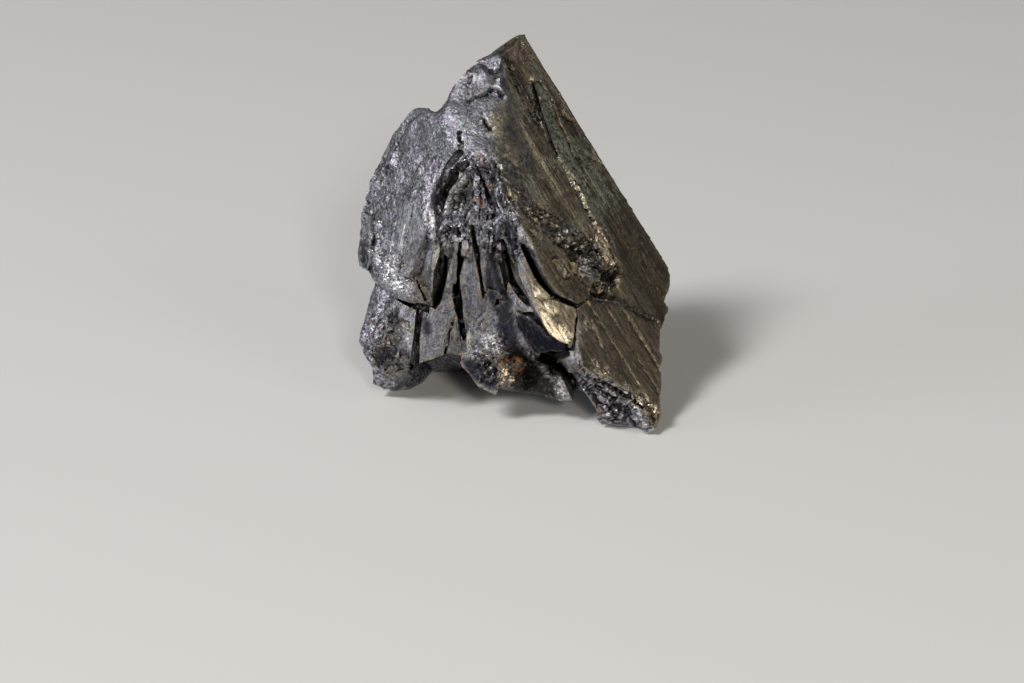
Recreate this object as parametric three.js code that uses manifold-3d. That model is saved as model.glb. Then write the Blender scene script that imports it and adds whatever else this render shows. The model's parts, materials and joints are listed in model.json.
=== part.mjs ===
// A hand specimen of andorite: one natural group of lead-grey, striated crystals grown together.
//
// Sizes are millimetres, +Z is up, and the origin lies on the ground under the middle of the piece.
// The specimen is a broken wedge. Its right side is a "roof", a sheaf of long striated prisms that
// runs down to the right. Its left side is a granular crown with a heavy lobe hanging from it.
// Under the prow where the two meet, a fan of blades spreads down over an arched hollow.

import * as THREE from 'three';
import { ConvexGeometry } from 'three/addons/geometries/ConvexGeometry.js';
import { TessellateModifier } from 'three/addons/modifiers/TessellateModifier.js';
import { SimplexNoise } from 'three/addons/math/SimplexNoise.js';
import { mergeVertices } from 'three/addons/utils/BufferGeometryUtils.js';
import Module from 'manifold-3d';

const wasm = await Module();
wasm.setup();

// ---- Driving dimensions ------------------------------------------------------------------------

// How far the finished group moves back, so that it stands over the origin.
const SHIFT_BACK = 1.05;

// The roof: its highest far corner, the way its striae run, and the way its face looks.
const ROOF_CORNER = [1.4, 12.1, 35.9];
const STRIAE = [0.524, -0.22, -0.822];
const ROOF_OUT = [0.725, -0.391, 0.567];

// A sheaf's bars: their width, how far their faces stand above each other, and their depth.
const BAR_WIDTH = [1.5, 3];
const BAR_RELIEF = 0.16;
const BAR_BEVEL = 0.17;
const PLATE_DEPTH = 1.5;

// The back: a second prism side that meets the roof in its far edge.
const BACK_CORNER = [-5, 13.85, 28];
const BACK_OUT = [0.333, 0.942, -0.04];

// The broken surfaces: the size of their facets, how far these stand in and out, and how far apart
// one high spot is from the next.
const CRUST = { facet: 3.5, push: 0.5, spacing: 2.6 };
const CRUMBLE = { facet: 2.4, push: 0.42, spacing: 2 };
const ERODED = { facet: 2.2, push: 0.5, spacing: 1.5 };
const HIDDEN = { facet: 7.5, push: 0.8, spacing: 4 };

// Edges shorter than this are closed up at the end.
const SMALLEST_EDGE = 0.005;

// ---- Helpers -----------------------------------------------------------------------------------

let seed = 20391;

function random(low = 0, high = 1) {
  seed = (seed * 1664525 + 1013904223) % 4294967296;
  return low + (high - low) * (seed / 4294967296);
}

const grain = new SimplexNoise({ random: () => random() });

function vector(point) {
  return point.isVector3 ? point.clone() : new THREE.Vector3(...point);
}

// A closed geometry as a solid. Corners within the tolerance become one, and facets that this
// closes up are dropped.
function toSolid(geometry, tolerance = 1e-4) {
  geometry.deleteAttribute('normal');
  geometry.deleteAttribute('uv');
  const merged = mergeVertices(geometry, tolerance);
  const facets = [];
  for (let i = 0; i < merged.index.count; i += 3) {
    const [a, b, c] = merged.index.array.slice(i, i + 3);
    if (a !== b && b !== c && c !== a) facets.push(a, b, c);
  }
  const mesh = new wasm.Mesh({
    numProp: 3,
    vertProperties: merged.attributes.position.array,
    triVerts: Uint32Array.from(facets),
  });
  return new wasm.Manifold(mesh);
}

function toGeometry(rock) {
  const { vertProperties, triVerts } = rock.getMesh();
  const geometry = new THREE.BufferGeometry();
  geometry.setAttribute('position', new THREE.Float32BufferAttribute(vertProperties, 3));
  geometry.setIndex(Array.from(triVerts));
  return geometry;
}

function joined(solids) {
  return solids.reduce((sum, solid) => sum.add(solid));
}

// A broken, granular surface: the faces are split into facets and their corners pushed about.
function granular(rock, { facet, push, spacing }) {
  const geometry = new TessellateModifier(facet, 14).modify(toGeometry(rock));
  const corners = geometry.attributes.position;
  for (let i = 0; i < corners.count; i += 1) {
    const corner = new THREE.Vector3().fromBufferAttribute(corners, i);
    const { x, y, z } = corner.clone().divideScalar(spacing);
    const shift = new THREE.Vector3(
      grain.noise3d(x, y, z),
      grain.noise3d(y + 40, z, x),
      grain.noise3d(z, x + 80, y),
    );
    corner.addScaledVector(shift, push);
    corners.setXYZ(i, corner.x, corner.y, corner.z);
  }
  return toSolid(geometry);
}

function hull(points) {
  return toSolid(new ConvexGeometry(points.map(vector)));
}

// A flat-fronted block: its front corners, and the same corners moved back and drawn in a little.
function block(front, back, shrink = 0.9) {
  const corners = front.map(vector);
  const middle = new THREE.Vector3();
  corners.forEach((corner) => middle.addScaledVector(corner, 1 / corners.length));
  const rear = corners.map((corner) => {
    const drawnIn = corner.clone().sub(middle).multiplyScalar(shrink).add(middle);
    return drawnIn.add(vector(back));
  });
  return hull([...corners, ...rear]);
}

// A growth frame has one axis down the striae, one across them and one out of the face.
function growthFrame(origin, striae, out) {
  const down = vector(striae).normalize();
  const normal = vector(out);
  normal.addScaledVector(down, -normal.dot(down)).normalize();
  const across = new THREE.Vector3().crossVectors(normal, down);
  return { origin: vector(origin), down, across, normal };
}

function place(frame, along, side, height) {
  return frame.origin.clone()
    .addScaledVector(frame.down, along)
    .addScaledVector(frame.across, side)
    .addScaledVector(frame.normal, height);
}

// One long prism of a sheaf, with bevelled shoulders; each side has its own start and end.
function bar(frame, { left, right, starts, ends, tops, root }) {
  const shoulders = [
    [left, 0, root],
    [left, 0, tops[0] - BAR_BEVEL],
    [left + BAR_BEVEL, 0.1, tops[0]],
    [right - BAR_BEVEL, 0.9, tops[1]],
    [right, 1, tops[1] - BAR_BEVEL],
    [right, 1, root],
  ];
  const corners = [];
  for (const [side, share, height] of shoulders) {
    corners.push(place(frame, THREE.MathUtils.lerp(starts[0], starts[1], share), side, height));
    corners.push(place(frame, THREE.MathUtils.lerp(ends[0], ends[1], share), side, height));
  }
  return hull(corners);
}

// A sheaf of bars side by side, between a start line and an end line that depend on the side.
function sheaf(frame, {
  from, to, startAt, endAt, top, root, relief = BAR_RELIEF, width = BAR_WIDTH,
}) {
  const bars = [];
  let left = from;
  while (left < to - 0.2) {
    const right = Math.min(left + random(...width), to);
    const start = random(-0.2, 0.2);
    const end = random(-0.55, 0.55);
    const level = random(-relief, relief);
    const tilt = random(-0.08, 0.08);
    bars.push(bar(frame, {
      left: left - 0.05,
      right: right + 0.05,
      starts: [startAt(left) + start, startAt(right) + start],
      ends: [endAt(left) + end, endAt(right) + end + random(-0.3, 0.3)],
      tops: [top(left) + level - tilt, top(right) + level + tilt],
      root,
    }));
    left = right;
  }
  return joined(bars);
}

// A straight-sided cutter over an outline given in a growth frame.
function outlinePrism(frame, outline, low, high) {
  const shape = new THREE.Shape(outline.map(([along, side]) => new THREE.Vector2(along, side)));
  const geometry = new THREE.ExtrudeGeometry(shape, { depth: high - low, bevelEnabled: false });
  const basis = new THREE.Matrix4().makeBasis(frame.down, frame.across, frame.normal);
  basis.setPosition(place(frame, 0, 0, low));
  geometry.applyMatrix4(basis);
  return toSolid(geometry);
}

// A cleft that follows a path of [x, y, z, width] points and narrows as it runs into the rock.
function cleft(path, into, depth, outside = 1.2) {
  const inward = vector(into).normalize();
  const cuts = [];
  for (let i = 0; i + 1 < path.length; i += 1) {
    const ends = [path[i], path[i + 1]];
    const [start, end] = ends.map(([x, y, z]) => new THREE.Vector3(x, y, z));
    const side = end.clone().sub(start).cross(inward).normalize();
    const corners = [];
    [start, end].forEach((point, which) => {
      for (const half of [-0.5 * ends[which][3], 0.5 * ends[which][3]]) {
        corners.push(point.clone().addScaledVector(side, half * 1.1).addScaledVector(inward, -outside));
        corners.push(point.clone().addScaledVector(side, half * 0.6).addScaledVector(inward, depth));
      }
    });
    cuts.push(hull(corners));
  }
  return joined(cuts);
}

// ---- The roof: striated prisms on the right ----------------------------------------------------

const roof = growthFrame(ROOF_CORNER, STRIAE, ROOF_OUT);

// Outlines in the roof's own frame, as [along the striae, across them]; the far edge is across 0.
const UPPER_PLATE = [
  [-0.3, 0.4], [-0.8, -1.4], [-0.7, -5], [-0.1, -7.4], [2.4, -8.6], [4, -10], [6.9, -13.3], [9, -14.6],
  [10.6, -18], [11.8, -19.9], [16.7, -20.9], [18.3, -20.7], [20.2, -21.7], [23, -22.9],
  [23.9, -22.2], [24.6, -20.6], [26.1, -19.1], [26.3, -16.3], [27.3, -14.9], [28.8, -11.8],
  [30.4, -10.1], [32.6, -7.6], [36, -5], [36, 0.4],
];
const LOWER_PLATE = [
  [26.5, -19.2], [27.5, -20.3], [29.5, -22.8], [31.6, -24], [33.7, -22.7], [34.7, -20.8],
  [36.6, -19.2], [38.2, -18.4], [43, -19], [43, -8], [32.8, -7.3], [30.6, -9.8], [29, -11.5],
  [27.5, -14.6], [26.6, -16.2],
];

// The diagonal belt where the face has crumbled, and the grainy band beside the seam.
const ERODED_ZONE = [
  [11.6, -18.9], [13.2, -16.6], [16.4, -15], [18.7, -12.2], [22, -10.9], [24.2, -9.2], [26.2, -9.6],
  [26.5, -13.4], [24.7, -15.8], [20.8, -15.9], [16.2, -18.3], [13, -19.6],
];
const GRAINY_BAND = [
  [4.3, -3.6], [7.1, -5.7], [10, -6.8], [14.7, -7], [19.7, -7.6], [23.4, -9], [24.4, -6.9],
  [21.3, -6], [17.3, -5.1], [12.7, -4], [8.1, -2.7], [4.8, -1.6],
];

// The right-hand end of the sheaf is broken off steeply, so the bars nearer the front are longer.
function farEnd(side) {
  return 29.2 - 0.68 * side;
}

function roofPlates() {
  const sheafLine = { startAt: () => -2, endAt: farEnd, root: -PLATE_DEPTH };
  const upper = sheaf(roof, { ...sheafLine, from: -23.4, to: 0, top: (side) => (side > -6 ? 0.05 : -0.05) });
  const lower = sheaf(roof, { ...sheafLine, startAt: () => 25, from: -24.4, to: -6.5, top: () => -0.12 });
  const zones = [ERODED_ZONE, GRAINY_BAND].map((zone) => outlinePrism(roof, zone, -0.8, 3));
  return [
    upper.intersect(outlinePrism(roof, UPPER_PLATE, -4, 3)).subtract(joined(zones)),
    granular(outlinePrism(roof, ERODED_ZONE, -1.5, -0.15), ERODED),
    granular(outlinePrism(roof, GRAINY_BAND, -1.5, -0.05), { ...ERODED, push: 0.25 }),
    lower.intersect(outlinePrism(roof, LOWER_PLATE, -4, 3)),
  ];
}

function roofBody() {
  const face = [
    [0, -0.5, -0.5], [-0.4, -7, -0.5], [3.6, -9.6, -0.5], [11.5, -18.2, -0.9],
    [20, -19, -1], [28, -18.8, -1.2], [38.5, -16.6, -1.2], [37, -11.6, -0.7],
    [33, -6.4, -0.7], [28.4, -0.9, -0.6],
  ].map(([along, side, height]) => place(roof, along, side, height));
  return hull([
    ...face,
    [-1, -2, 15], [3, -6, 4], [11.5, -9.5, 1.4], [14.5, 0, 1], [-3, 6, 8], [-3, 4, 33.3],
    [14.4, 5.8, 4], [15.6, 5.7, 11], [8, 8, 1.5], [-4, 13, 8], [-6, 13.6, 20], [-4.4, 13.5, 29.5],
  ]);
}

// Two steps in the face: the raised rod and the lens beside the pitted band.
function roofSteps() {
  const bars = [
    { left: -17.9, right: -17.2, starts: [21.2, 21.4], ends: [23.4, 23.1], tops: [0.3, 0.36], root: -1 },
    { left: -10.2, right: -8.9, starts: [22.4, 21.8], ends: [25.6, 26.4], tops: [0.3, 0.42], root: -1 },
  ];
  return bars.map((size) => bar(roof, size));
}

// ---- The crown: a granular, bevelled block that closes the top left ----------------------------

const CROWN_EDGE = [
  [0.5, 11, 36.3], [-1.2, 7.8, 36.2], [-2, 6, 36], [-3.6, 4.4, 35.5],
  [-5.2, 3.4, 34.5], [-6.8, 2, 33.2], [-7.8, 0.6, 31.6],
];
const CROWN_FRONT = [
  [-7.3, -1.3, 29.6], [-6.2, -2.9, 27.9], [-4.6, -3.3, 27.3], [-2.5, -4.3, 26.5],
  [-1.2, -6.4, 25.2], [-0.8, -1.2, 29.6], [-1.1, 1.5, 32.2], [-1.5, 4.7, 35.6],
];

function crown() {
  return hull([
    ...CROWN_EDGE, ...CROWN_FRONT,
    [-1.2, 11.5, 33], [-6, 9, 27], [-9, 4, 24], [-3, 0, 22], [-1, -4, 22],
  ]);
}

// ---- The lobe: a heavy striated mass that hangs from the crown on the left ---------------------

const LOBE_TOP = [
  [-8, 1.2, 31.1], [-8.9, 2, 31.2], [-10.5, 3.8, 30.5], [-11.3, 4.3, 29.6],
  [-13, 5.3, 27], [-13.9, 5.6, 25.3],
];
const LOBE_LEFT = [
  [-15, 5.5, 22.2], [-15.8, 5.5, 20.2], [-16.7, 5.7, 18.3], [-16.9, 4.2, 14.8], [-16.4, 2.8, 13.2],
];
const LOBE_LOW = [
  [-14.8, 0.2, 12.3], [-12.1, -3.7, 11.5], [-10.3, -5.9, 11.6], [-8.9, -7.4, 12.3], [-8.3, -7.6, 13.4],
];
const LOBE_RIGHT = [
  [-8.6, -6.3, 16], [-8.8, -5, 17.6], [-8, -3.8, 22.1], [-6.8, -3.4, 25.3], [-7.3, -1.3, 28.6],
];

function lobe() {
  return [
    hull([
      ...LOBE_TOP, ...LOBE_LEFT.slice(0, 3), ...LOBE_RIGHT.slice(2),
      [-10, 8, 27], [-14, 9, 21], [-6, 3, 24], [-9, 4, 18],
    ]),
    hull([
      ...LOBE_LEFT.slice(1), ...LOBE_LOW, ...LOBE_RIGHT.slice(0, 3),
      [-8, 0, 22], [-9, 0, 14], [-14, 8, 17], [-13, 7, 13],
    ]),
    // The shoulder that ties the lobe to the crown.
    hull([
      [-7.8, 0.6, 31.5], [-8.9, 2, 31], [-10.5, 3.6, 30], [-12.4, 4, 26.6], [-10, -0.6, 24],
      [-7, -3.2, 25.2], [-6.2, -3.1, 27.4], [-4.8, -3.4, 27.3], [-6, -2, 29.2], [-5, 4, 26], [-8, 4, 22],
    ]),
    // Knobs on the outer flank and along the lower rim.
    block([
      [-16.6, 5, 18.4], [-15.6, 3.6, 18.8], [-15.2, 1.6, 15.4], [-15.6, 1.4, 13.2], [-16.5, 2.8, 13],
      [-17, 4.2, 15],
    ], [2, 3, 0.4]),
    block([
      [-14.4, 0.4, 13.6], [-12, -2.8, 14.4], [-9.4, -6.2, 14.2], [-8.8, -7.5, 12.6], [-10.4, -6.1, 11.5],
      [-12.2, -4, 11.4],
    ], [2, 3, 0.4]),
  ];
}

// The striated panel on the face of the lobe.
function lobePanel() {
  const frame = growthFrame([-9.4, -1.9, 23.6], [-0.2, -0.33, -0.92], [-0.76, -0.58, 0.29]);
  const outline = [[-2, -1.9], [1, 1.2], [7, 1.5], [9, 0.9], [9.8, -0.6], [8, -3.4], [3, -3.6]];
  const panel = sheaf(frame, {
    from: -3.8, to: 1.8, width: [0.8, 1.5], root: -1.5, top: () => 0.24, startAt: () => -3, endAt: () => 12,
  });
  return panel.intersect(outlinePrism(frame, outline, -1.4, 2));
}

// ---- The fan: blades that spread from under the prow -------------------------------------------

// The recessed, crumbly rock that the blades spring from.
function fanRoot() {
  return [
    block([
      [-4.6, -3.4, 26.6], [-6.5, -3, 23.8], [-7.7, -3.2, 21.9], [-8.2, -4.3, 18.6],
      [-7.4, -5, 16.8], [-5.5, -6, 19], [-4.6, -5.6, 22.3], [-3.8, -4.8, 24.7],
    ], [1, 6, 0]),
    block([
      [-4.6, -3.6, 26.4], [-2.5, -4.6, 26.2], [-1.5, -6.6, 24.6], [-0.8, -7.2, 23.6],
      [-2.4, -7.4, 20.2], [-3.8, -7, 18.8], [-5.4, -6.4, 18.9], [-4.8, -5.6, 22.3],
    ], [1, 6, 0]),
  ];
}

function leftFoot() {
  return [
    block([
      [-14.7, 0.6, 12.4], [-15.9, -0.6, 7.8], [-16.3, -2.4, 6.4], [-16.4, -2.6, 5.5], [-15.2, -3.4, 3.9],
      [-11.3, -5.2, 4.1], [-10.4, -7.3, 7], [-10.4, -7.2, 9.3], [-10.4, -5.8, 12], [-12.4, -5.6, 9],
      [-12.4, -5.8, 6.2], [-12.1, -3.6, 12],
    ], [1.5, 7, 0.6]),
    block([
      [-15.2, -3.2, 4.2], [-14.9, -2.8, 1.9], [-13.9, -3, 0.9], [-12.6, -3.2, 1.5], [-11.4, -4.8, 4.1],
      [-13.2, -4.4, 3.2],
    ], [0.8, 3.4, -1.6], 0.7),
  ];
}

function bladeTwo() {
  return [
    block([
      [-7.1, -5.4, 17.4], [-5.9, -6.4, 18.8], [-5.8, -6.9, 16.6], [-6.4, -6.9, 14], [-6.3, -7, 11.8],
      [-8.2, -6.9, 12.2], [-7.5, -6.4, 14.3],
    ], [-0.4, 6, 0.5]),
    block([
      [-8.2, -7.2, 12.4], [-9.5, -7, 11.6], [-9.9, -7.3, 8.9], [-10.1, -7.9, 5.8], [-8.9, -7.6, 6.3],
      [-7.5, -7.6, 6.7], [-6.9, -7.2, 9.1], [-6.4, -6.9, 11.8],
    ], [-0.2, 6, 0.8]),
    block([
      [-6.4, -6.9, 11.9], [-6.9, -7.1, 9.2], [-6.2, -7.4, 8], [-5.6, -6.9, 9.3], [-6.1, -7, 11],
    ], [0, 6, 0.6]),
    block([
      [-6.7, -7.1, 8.8], [-5.6, -6.9, 9.3], [-5.5, -6.9, 6.6], [-7.1, -7.3, 6.8],
    ], [0, 6, 0.6]),
  ];
}

function bladeThree() {
  return [
    block([
      [-5.2, -6.9, 19.5], [-4.1, -7.1, 19.2], [-3.6, -8.1, 16.7], [-2.6, -8.9, 11.6], [-1.6, -9.2, 8.6],
      [-5, -8, 7.6], [-5.2, -7.5, 11.7], [-5.4, -7.3, 15.1],
    ], [0.4, 6, 0.6]),
    block([
      [-4.9, -8, 9.4], [-2.6, -9, 12.4], [-0.9, -9.6, 10], [-0.6, -10.2, 7], [-1.6, -10.4, 3.7],
      [-3.5, -10.2, 4.6], [-5, -9.6, 5.5], [-5.6, -9, 6.5], [-5, -8.2, 8],
    ], [0.6, 6, 1]),
  ];
}

function middleBlades() {
  return [
    block([
      [-3.9, -6.9, 20.6], [-3.3, -7.6, 18.6], [-3.2, -8.3, 14.9], [-2.2, -8.8, 11.4], [-0.4, -8.8, 12.4],
      [-1.3, -8.2, 15.6], [-2.3, -7.6, 20],
    ], [0.6, 5, 0]),
    block([
      [-2.2, -6.8, 24.4], [-0.6, -7.4, 23.9], [0.8, -8.9, 20.1], [0.6, -9.3, 17.4], [-0.3, -8.9, 15.4],
      [-1.4, -8.2, 17.3], [-2.6, -7.2, 21.2],
    ], [0.8, 5, 0]),
    block([
      [0.2, -8.8, 17.6], [1.4, -9.2, 17.9], [2.1, -10, 15.1], [2.4, -10.4, 12.6], [0.1, -9.8, 12.3],
      [-0.9, -8.8, 14.2],
    ], [0.8, 5, 0]),
    block([
      [-1.2, -9.4, 10.6], [0.1, -9.8, 12.6], [1.5, -10, 10.4], [3, -9.4, 5], [2.8, -8.8, 2.8],
      [0.6, -9, 3.1], [-1.5, -9.8, 3.7],
    ], [1.2, 5, 0.8]),
    block([
      [-2.8, -8.6, 14.6], [-0.2, -8.8, 13.6], [0.6, -9.4, 11.4], [0.4, -9.6, 8.4], [-1.4, -9.7, 8.2],
      [-2.9, -9, 11],
    ], [0.8, 5, 0]),
  ];
}

// Long dark prisms under the edge of the roof, running down to the right foot.
function lowerBlades() {
  return [
    block([
      [0.1, -10, 12.5], [1.7, -11, 12.1], [3.2, -12, 10.5], [5.4, -12.6, 9.6], [5.4, -12.2, 8.8],
      [2.7, -11.2, 8.4], [1.4, -10.4, 9.5],
    ], [0.6, 5, -0.4]),
    block([
      [0, -9.4, 11.2], [1.7, -10, 10.3], [4.1, -9.8, 5], [5.1, -9.6, 2.3], [3.3, -9.3, 2.7], [1.7, -9.2, 5.6],
    ], [1.6, 5, 1]),
    block([
      [4, -10.4, 5.9], [4.8, -10.6, 5.9], [6.1, -10.6, 2.8], [5, -10.4, 2.5],
    ], [1, 4, 1]),
    block([
      [4.4, -12.3, 7.8], [5.4, -12.8, 6.1], [7.3, -12.8, 3.5], [9.2, -11.6, 0.4], [10.3, -11.6, 0.4],
      [9, -12.9, 3.7], [7.9, -13.4, 6.6], [6.3, -13.4, 9],
    ], [1, 4.5, 0.2]),
  ];
}

// The bright slab under the lip of the upper plate.
function slab() {
  return block([
    [0.2, -8.4, 21.6], [1, -9.4, 20.2], [1.9, -10.7, 18], [3.2, -11.8, 15.2], [4.8, -11.8, 14],
    [6.4, -11.8, 13.2], [6.5, -13.6, 10], [5, -13.6, 10.3], [3.7, -13.2, 11.1], [2.7, -12.4, 12.7],
    [1.7, -11.6, 14.3], [0.6, -10.4, 16.6], [-0.2, -9, 19.5],
  ], [-0.6, 3.4, -1.8]);
}

// Rough crystals that close the lower end of the roof and reach the ground.
function rightFoot() {
  return [
    hull([
      [7.2, -13.6, 7.4], [9, -13, 5.8], [10.4, -12.4, 4.8], [12.8, -11.4, 3], [13.9, -11.2, 1.8],
      [11.2, -11.8, 0.2], [12.4, -11.9, 0.2], [9.2, -11.6, 0.8], [8, -9, 6], [12, -7, 1], [10, -8, 0.2],
    ]),
    hull([
      [12, -12.2, 2.6], [13.8, -13, 0.8], [14.8, -13.2, 1], [15.6, -11.6, 1.6], [15, -12, 2.8],
      [12.6, -11.8, 0.3], [13.8, -11, 0.2], [12, -9, 0.6], [15, -8, 2],
    ]),
  ];
}

// ---- The back and the core ---------------------------------------------------------------------

const back = growthFrame(BACK_CORNER, STRIAE, BACK_OUT);

function core() {
  return [
    hull([
      [0.4, 10.8, 35.4], [-2, 6, 34.6], [-8, 4, 29], [-13, 7, 25], [-15.6, 6.5, 18], [-14.6, 7, 12],
      [-13, 7.5, 1.2], [-9.5, 13.4, 2.2], [-9, 12.6, 22], [-4, 12, -0.4], [4, 10.4, -0.4], [-3, 5, -0.4],
      [-7, 2, 1], [-9, -1, 5], [-9, -1.4, 12], [-6.5, -1.6, 21], [-2, -2.4, 23], [0, -4, 12],
      [1, -4.4, 4], [13.4, 5.6, 0.6], [15, 4.6, 9], [5, 9.6, 29], [12, 3, -0.4],
    ]),
    hull([
      [-12.6, -0.6, 2], [-11.6, 0.6, -0.4], [-13.6, 0, -0.4], [-13, 4, 0.6], [-9, 4, 1], [-9.5, 1, 6],
      [-14.4, 3, 8],
    ]),
  ];
}

function backSheaf() {
  return sheaf(back, {
    from: -9.7,
    to: 2.5,
    width: [2.2, 3.6],
    relief: 0.3,
    root: -2,
    startAt: (side) => 0.4 * (side + 9.7) - 2.2,
    endAt: (side) => 27 + side * 0.3,
    top: (side) => 0.1 + 0.02 * (side + 9.7),
  });
}

// ---- Clefts -------------------------------------------------------------------------------------

function clefts() {
  const inRoof = (path) => path.map(([along, side, width]) => {
    const point = place(roof, along, side, 0);
    return [point.x, point.y, point.z, width];
  });
  const intoRoof = vector(ROOF_OUT).negate();
  return [
    // The curved crack above the fan.
    cleft([
      [-4.6, -3.4, 26.8, 0.7], [-5.7, -3.4, 26, 0.9], [-7.1, -3.4, 24.2, 0.9], [-8, -3.6, 22, 0.5],
    ], [0.3, 1, -0.1], 1.6),
    // Slots between the blades; the first parts them from the lobe.
    cleft([
      [-7.1, -6.6, 17.4, 0.4], [-7.5, -6.9, 15, 0.9], [-8, -7.4, 12.8, 0.8], [-8.4, -7.8, 11.9, 0.4],
    ], [0, 1, -0.2], 3.5),
    cleft([
      [-10.1, -6.4, 11.8, 0.45], [-10.2, -7.4, 9.5, 0.16], [-10.1, -7.6, 7.9, 0.3], [-10.4, -7.8, 5.2, 0.7],
    ], [0.1, 1, 0.1], 6),
    cleft([
      [-5.6, -7, 18.7, 0.35], [-5.9, -7.2, 15, 0.55], [-5.7, -7.2, 11.6, 0.6], [-5.2, -7.2, 8.3, 0.5],
      [-5.3, -7.4, 6, 0.7],
    ], [0, 1, 0.1], 6),
    cleft([[-4.9, -6.6, 20.4, 0.3], [-5.7, -6.8, 19.5, 0.4], [-6.5, -6.4, 18.7, 0.25]], [0, 1, 0], 2),
    cleft([
      [-4.4, -6.6, 21.7, 0.2], [-4.1, -7.2, 19.6, 0.35], [-3.8, -7.8, 17.6, 0.3], [-3.6, -8.2, 15.9, 0.15],
    ], [0, 1, 0], 2.2),
    cleft([[-6.8, -7.2, 9.2, 0.12], [-7.1, -7.4, 7.8, 0.3], [-7.3, -7.4, 6.2, 0.25]], [0, 1, 0.1], 3),
    // The gap under the lip of the upper plate.
    cleft([
      [1.2, -9.8, 19.5, 0.5], [2.4, -11.3, 17.1, 0.8], [4, -12.2, 14.9, 0.8], [6.8, -11.4, 13.5, 0.5],
    ], [-0.4, 1, -0.25], 3),
    // The gap on the other side of the slab's upper end.
    cleft([
      [-1.3, -8.6, 19.3, 0.4], [-0.4, -9.6, 17.1, 0.9], [0.5, -10.4, 15, 1], [1.4, -11, 13.6, 0.6],
    ], [0, 1, 0], 3),
    // The hollow under the dark prism, which runs on between the lowest two blades.
    cleft([
      [2.9, -10.6, 7.4, 1], [4.3, -12, 7.2, 1.3], [5.4, -13, 6.4, 0.9], [7, -13.2, 4.6, 0.6],
    ], [0, 1, 0], 3),
    // The groove and the seam that run down the roof.
    cleft(inRoof([[0.6, -6.1, 0.5], [3.5, -6.5, 0.8], [7.4, -6.9, 0.6]]), intoRoof, 0.5, 0.6),
    cleft(inRoof([
      [4.1, -3.6, 0.2], [7.2, -5.8, 0.35], [8.6, -6.4, 0.55], [10.4, -6.9, 0.3],
    ]), intoRoof, 2.4, 0.8),
    cleft(inRoof([
      [10.4, -6.9, 0.2], [15.3, -7.3, 0.24], [21.8, -8.3, 0.24], [25, -9, 0.12],
    ]), intoRoof, 0.6, 0.6),
    // The break across the roof.
    cleft(inRoof([
      [26.3, -16.6, 0.25], [27.3, -14.9, 0.5], [28.9, -11.6, 0.35], [30.7, -9.7, 0.15], [32.7, -7.4, 0.1],
    ]), intoRoof, 0.8, 0.6),
  ];
}

// Hollows broken out of the face, each as a middle, the way it looks and its width and depth.
const PITS = [
  { at: [9.1, -4.4, 14.2], out: [0.55, -0.7, 0.45], width: 2.2, depth: 1.2 },
  { at: [7.6, -3.1, 17.3], out: [0.6, -0.5, 0.6], width: 1.5, depth: 0.9 },
  { at: [4.3, -5.5, 20.6], out: [0.6, -0.6, 0.5], width: 1.6, depth: 0.9 },
  { at: [10.1, -12.4, 4.3], out: [0.1, -1, 0.2], width: 2, depth: 1.3 },
  { at: [-1.5, -8, 13.2], out: [0, -1, 0.1], width: 1, depth: 1.6 },
  { at: [-2.2, -6.6, 21.9], out: [-0.1, -1, 0.2], width: 1, depth: 1.2 },
  { at: [-4.6, 2.8, 34.3], out: [-0.3, -0.6, 0.7], width: 1.5, depth: 0.6 },
  { at: [-7.2, -0.8, 30.2], out: [-0.4, -0.8, 0.5], width: 1.3, depth: 0.6 },
];

// A pit is an uneven little pyramid that points into the rock.
function pits() {
  return PITS.map(({ at, out, width, depth }) => {
    const frame = growthFrame(at, [0.1, 0.3, -1], out);
    const rim = [0, 1, 2, 3, 4].map((i) => {
      const angle = (i / 5) * 2 * Math.PI + random(-0.4, 0.4);
      const reach = width * random(0.4, 0.62);
      return place(frame, 1.3 * reach * Math.cos(angle), reach * Math.sin(angle), 0.8);
    });
    const floor = [place(frame, 0.2 * width, 0, -depth), place(frame, -0.3 * width, 0.1, -0.7 * depth)];
    return hull([...rim, ...floor]);
  });
}

// ---- The whole specimen ------------------------------------------------------------------------

// The outer skin alone: closed pores and loose chips left by the cuts are dropped.
function largest(rock) {
  const pieces = rock.decompose();
  return pieces.reduce((most, piece) => (piece.volume() > most.volume() ? piece : most));
}

function specimen() {
  const masses = joined([
    granular(joined(core()), HIDDEN),
    granular(joined([crown(), ...lobe(), ...leftFoot(), ...bladeThree()]), CRUST),
    granular(joined(fanRoot()), CRUMBLE),
    granular(joined(rightFoot()), CRUMBLE),
    ...bladeTwo(), ...middleBlades(), ...lowerBlades(), slab(),
    roofBody(), ...roofPlates(), ...roofSteps(), lobePanel(), backSheaf(),
  ]);
  const ground = toSolid(new THREE.BoxGeometry(80, 80, 20).translate(0, 0, -10));
  const rock = masses.subtract(joined([...clefts(), ...pits(), ground]));
  return largest(toSolid(toGeometry(rock), SMALLEST_EDGE)).translate(0, SHIFT_BACK, 0);
}

const leadGrey = new THREE.MeshStandardMaterial({ color: 0x6f7177, roughness: 0.45, metalness: 0.85 });
const cluster = new THREE.Mesh(toGeometry(specimen()), leadGrey);
cluster.name = 'andorite_cluster';

const part = new THREE.Group();
part.add(cluster);

export default part;
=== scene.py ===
import json
import math

import bmesh
import bpy
import numpy as np
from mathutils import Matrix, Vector
from mathutils.bvhtree import BVHTree

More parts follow.
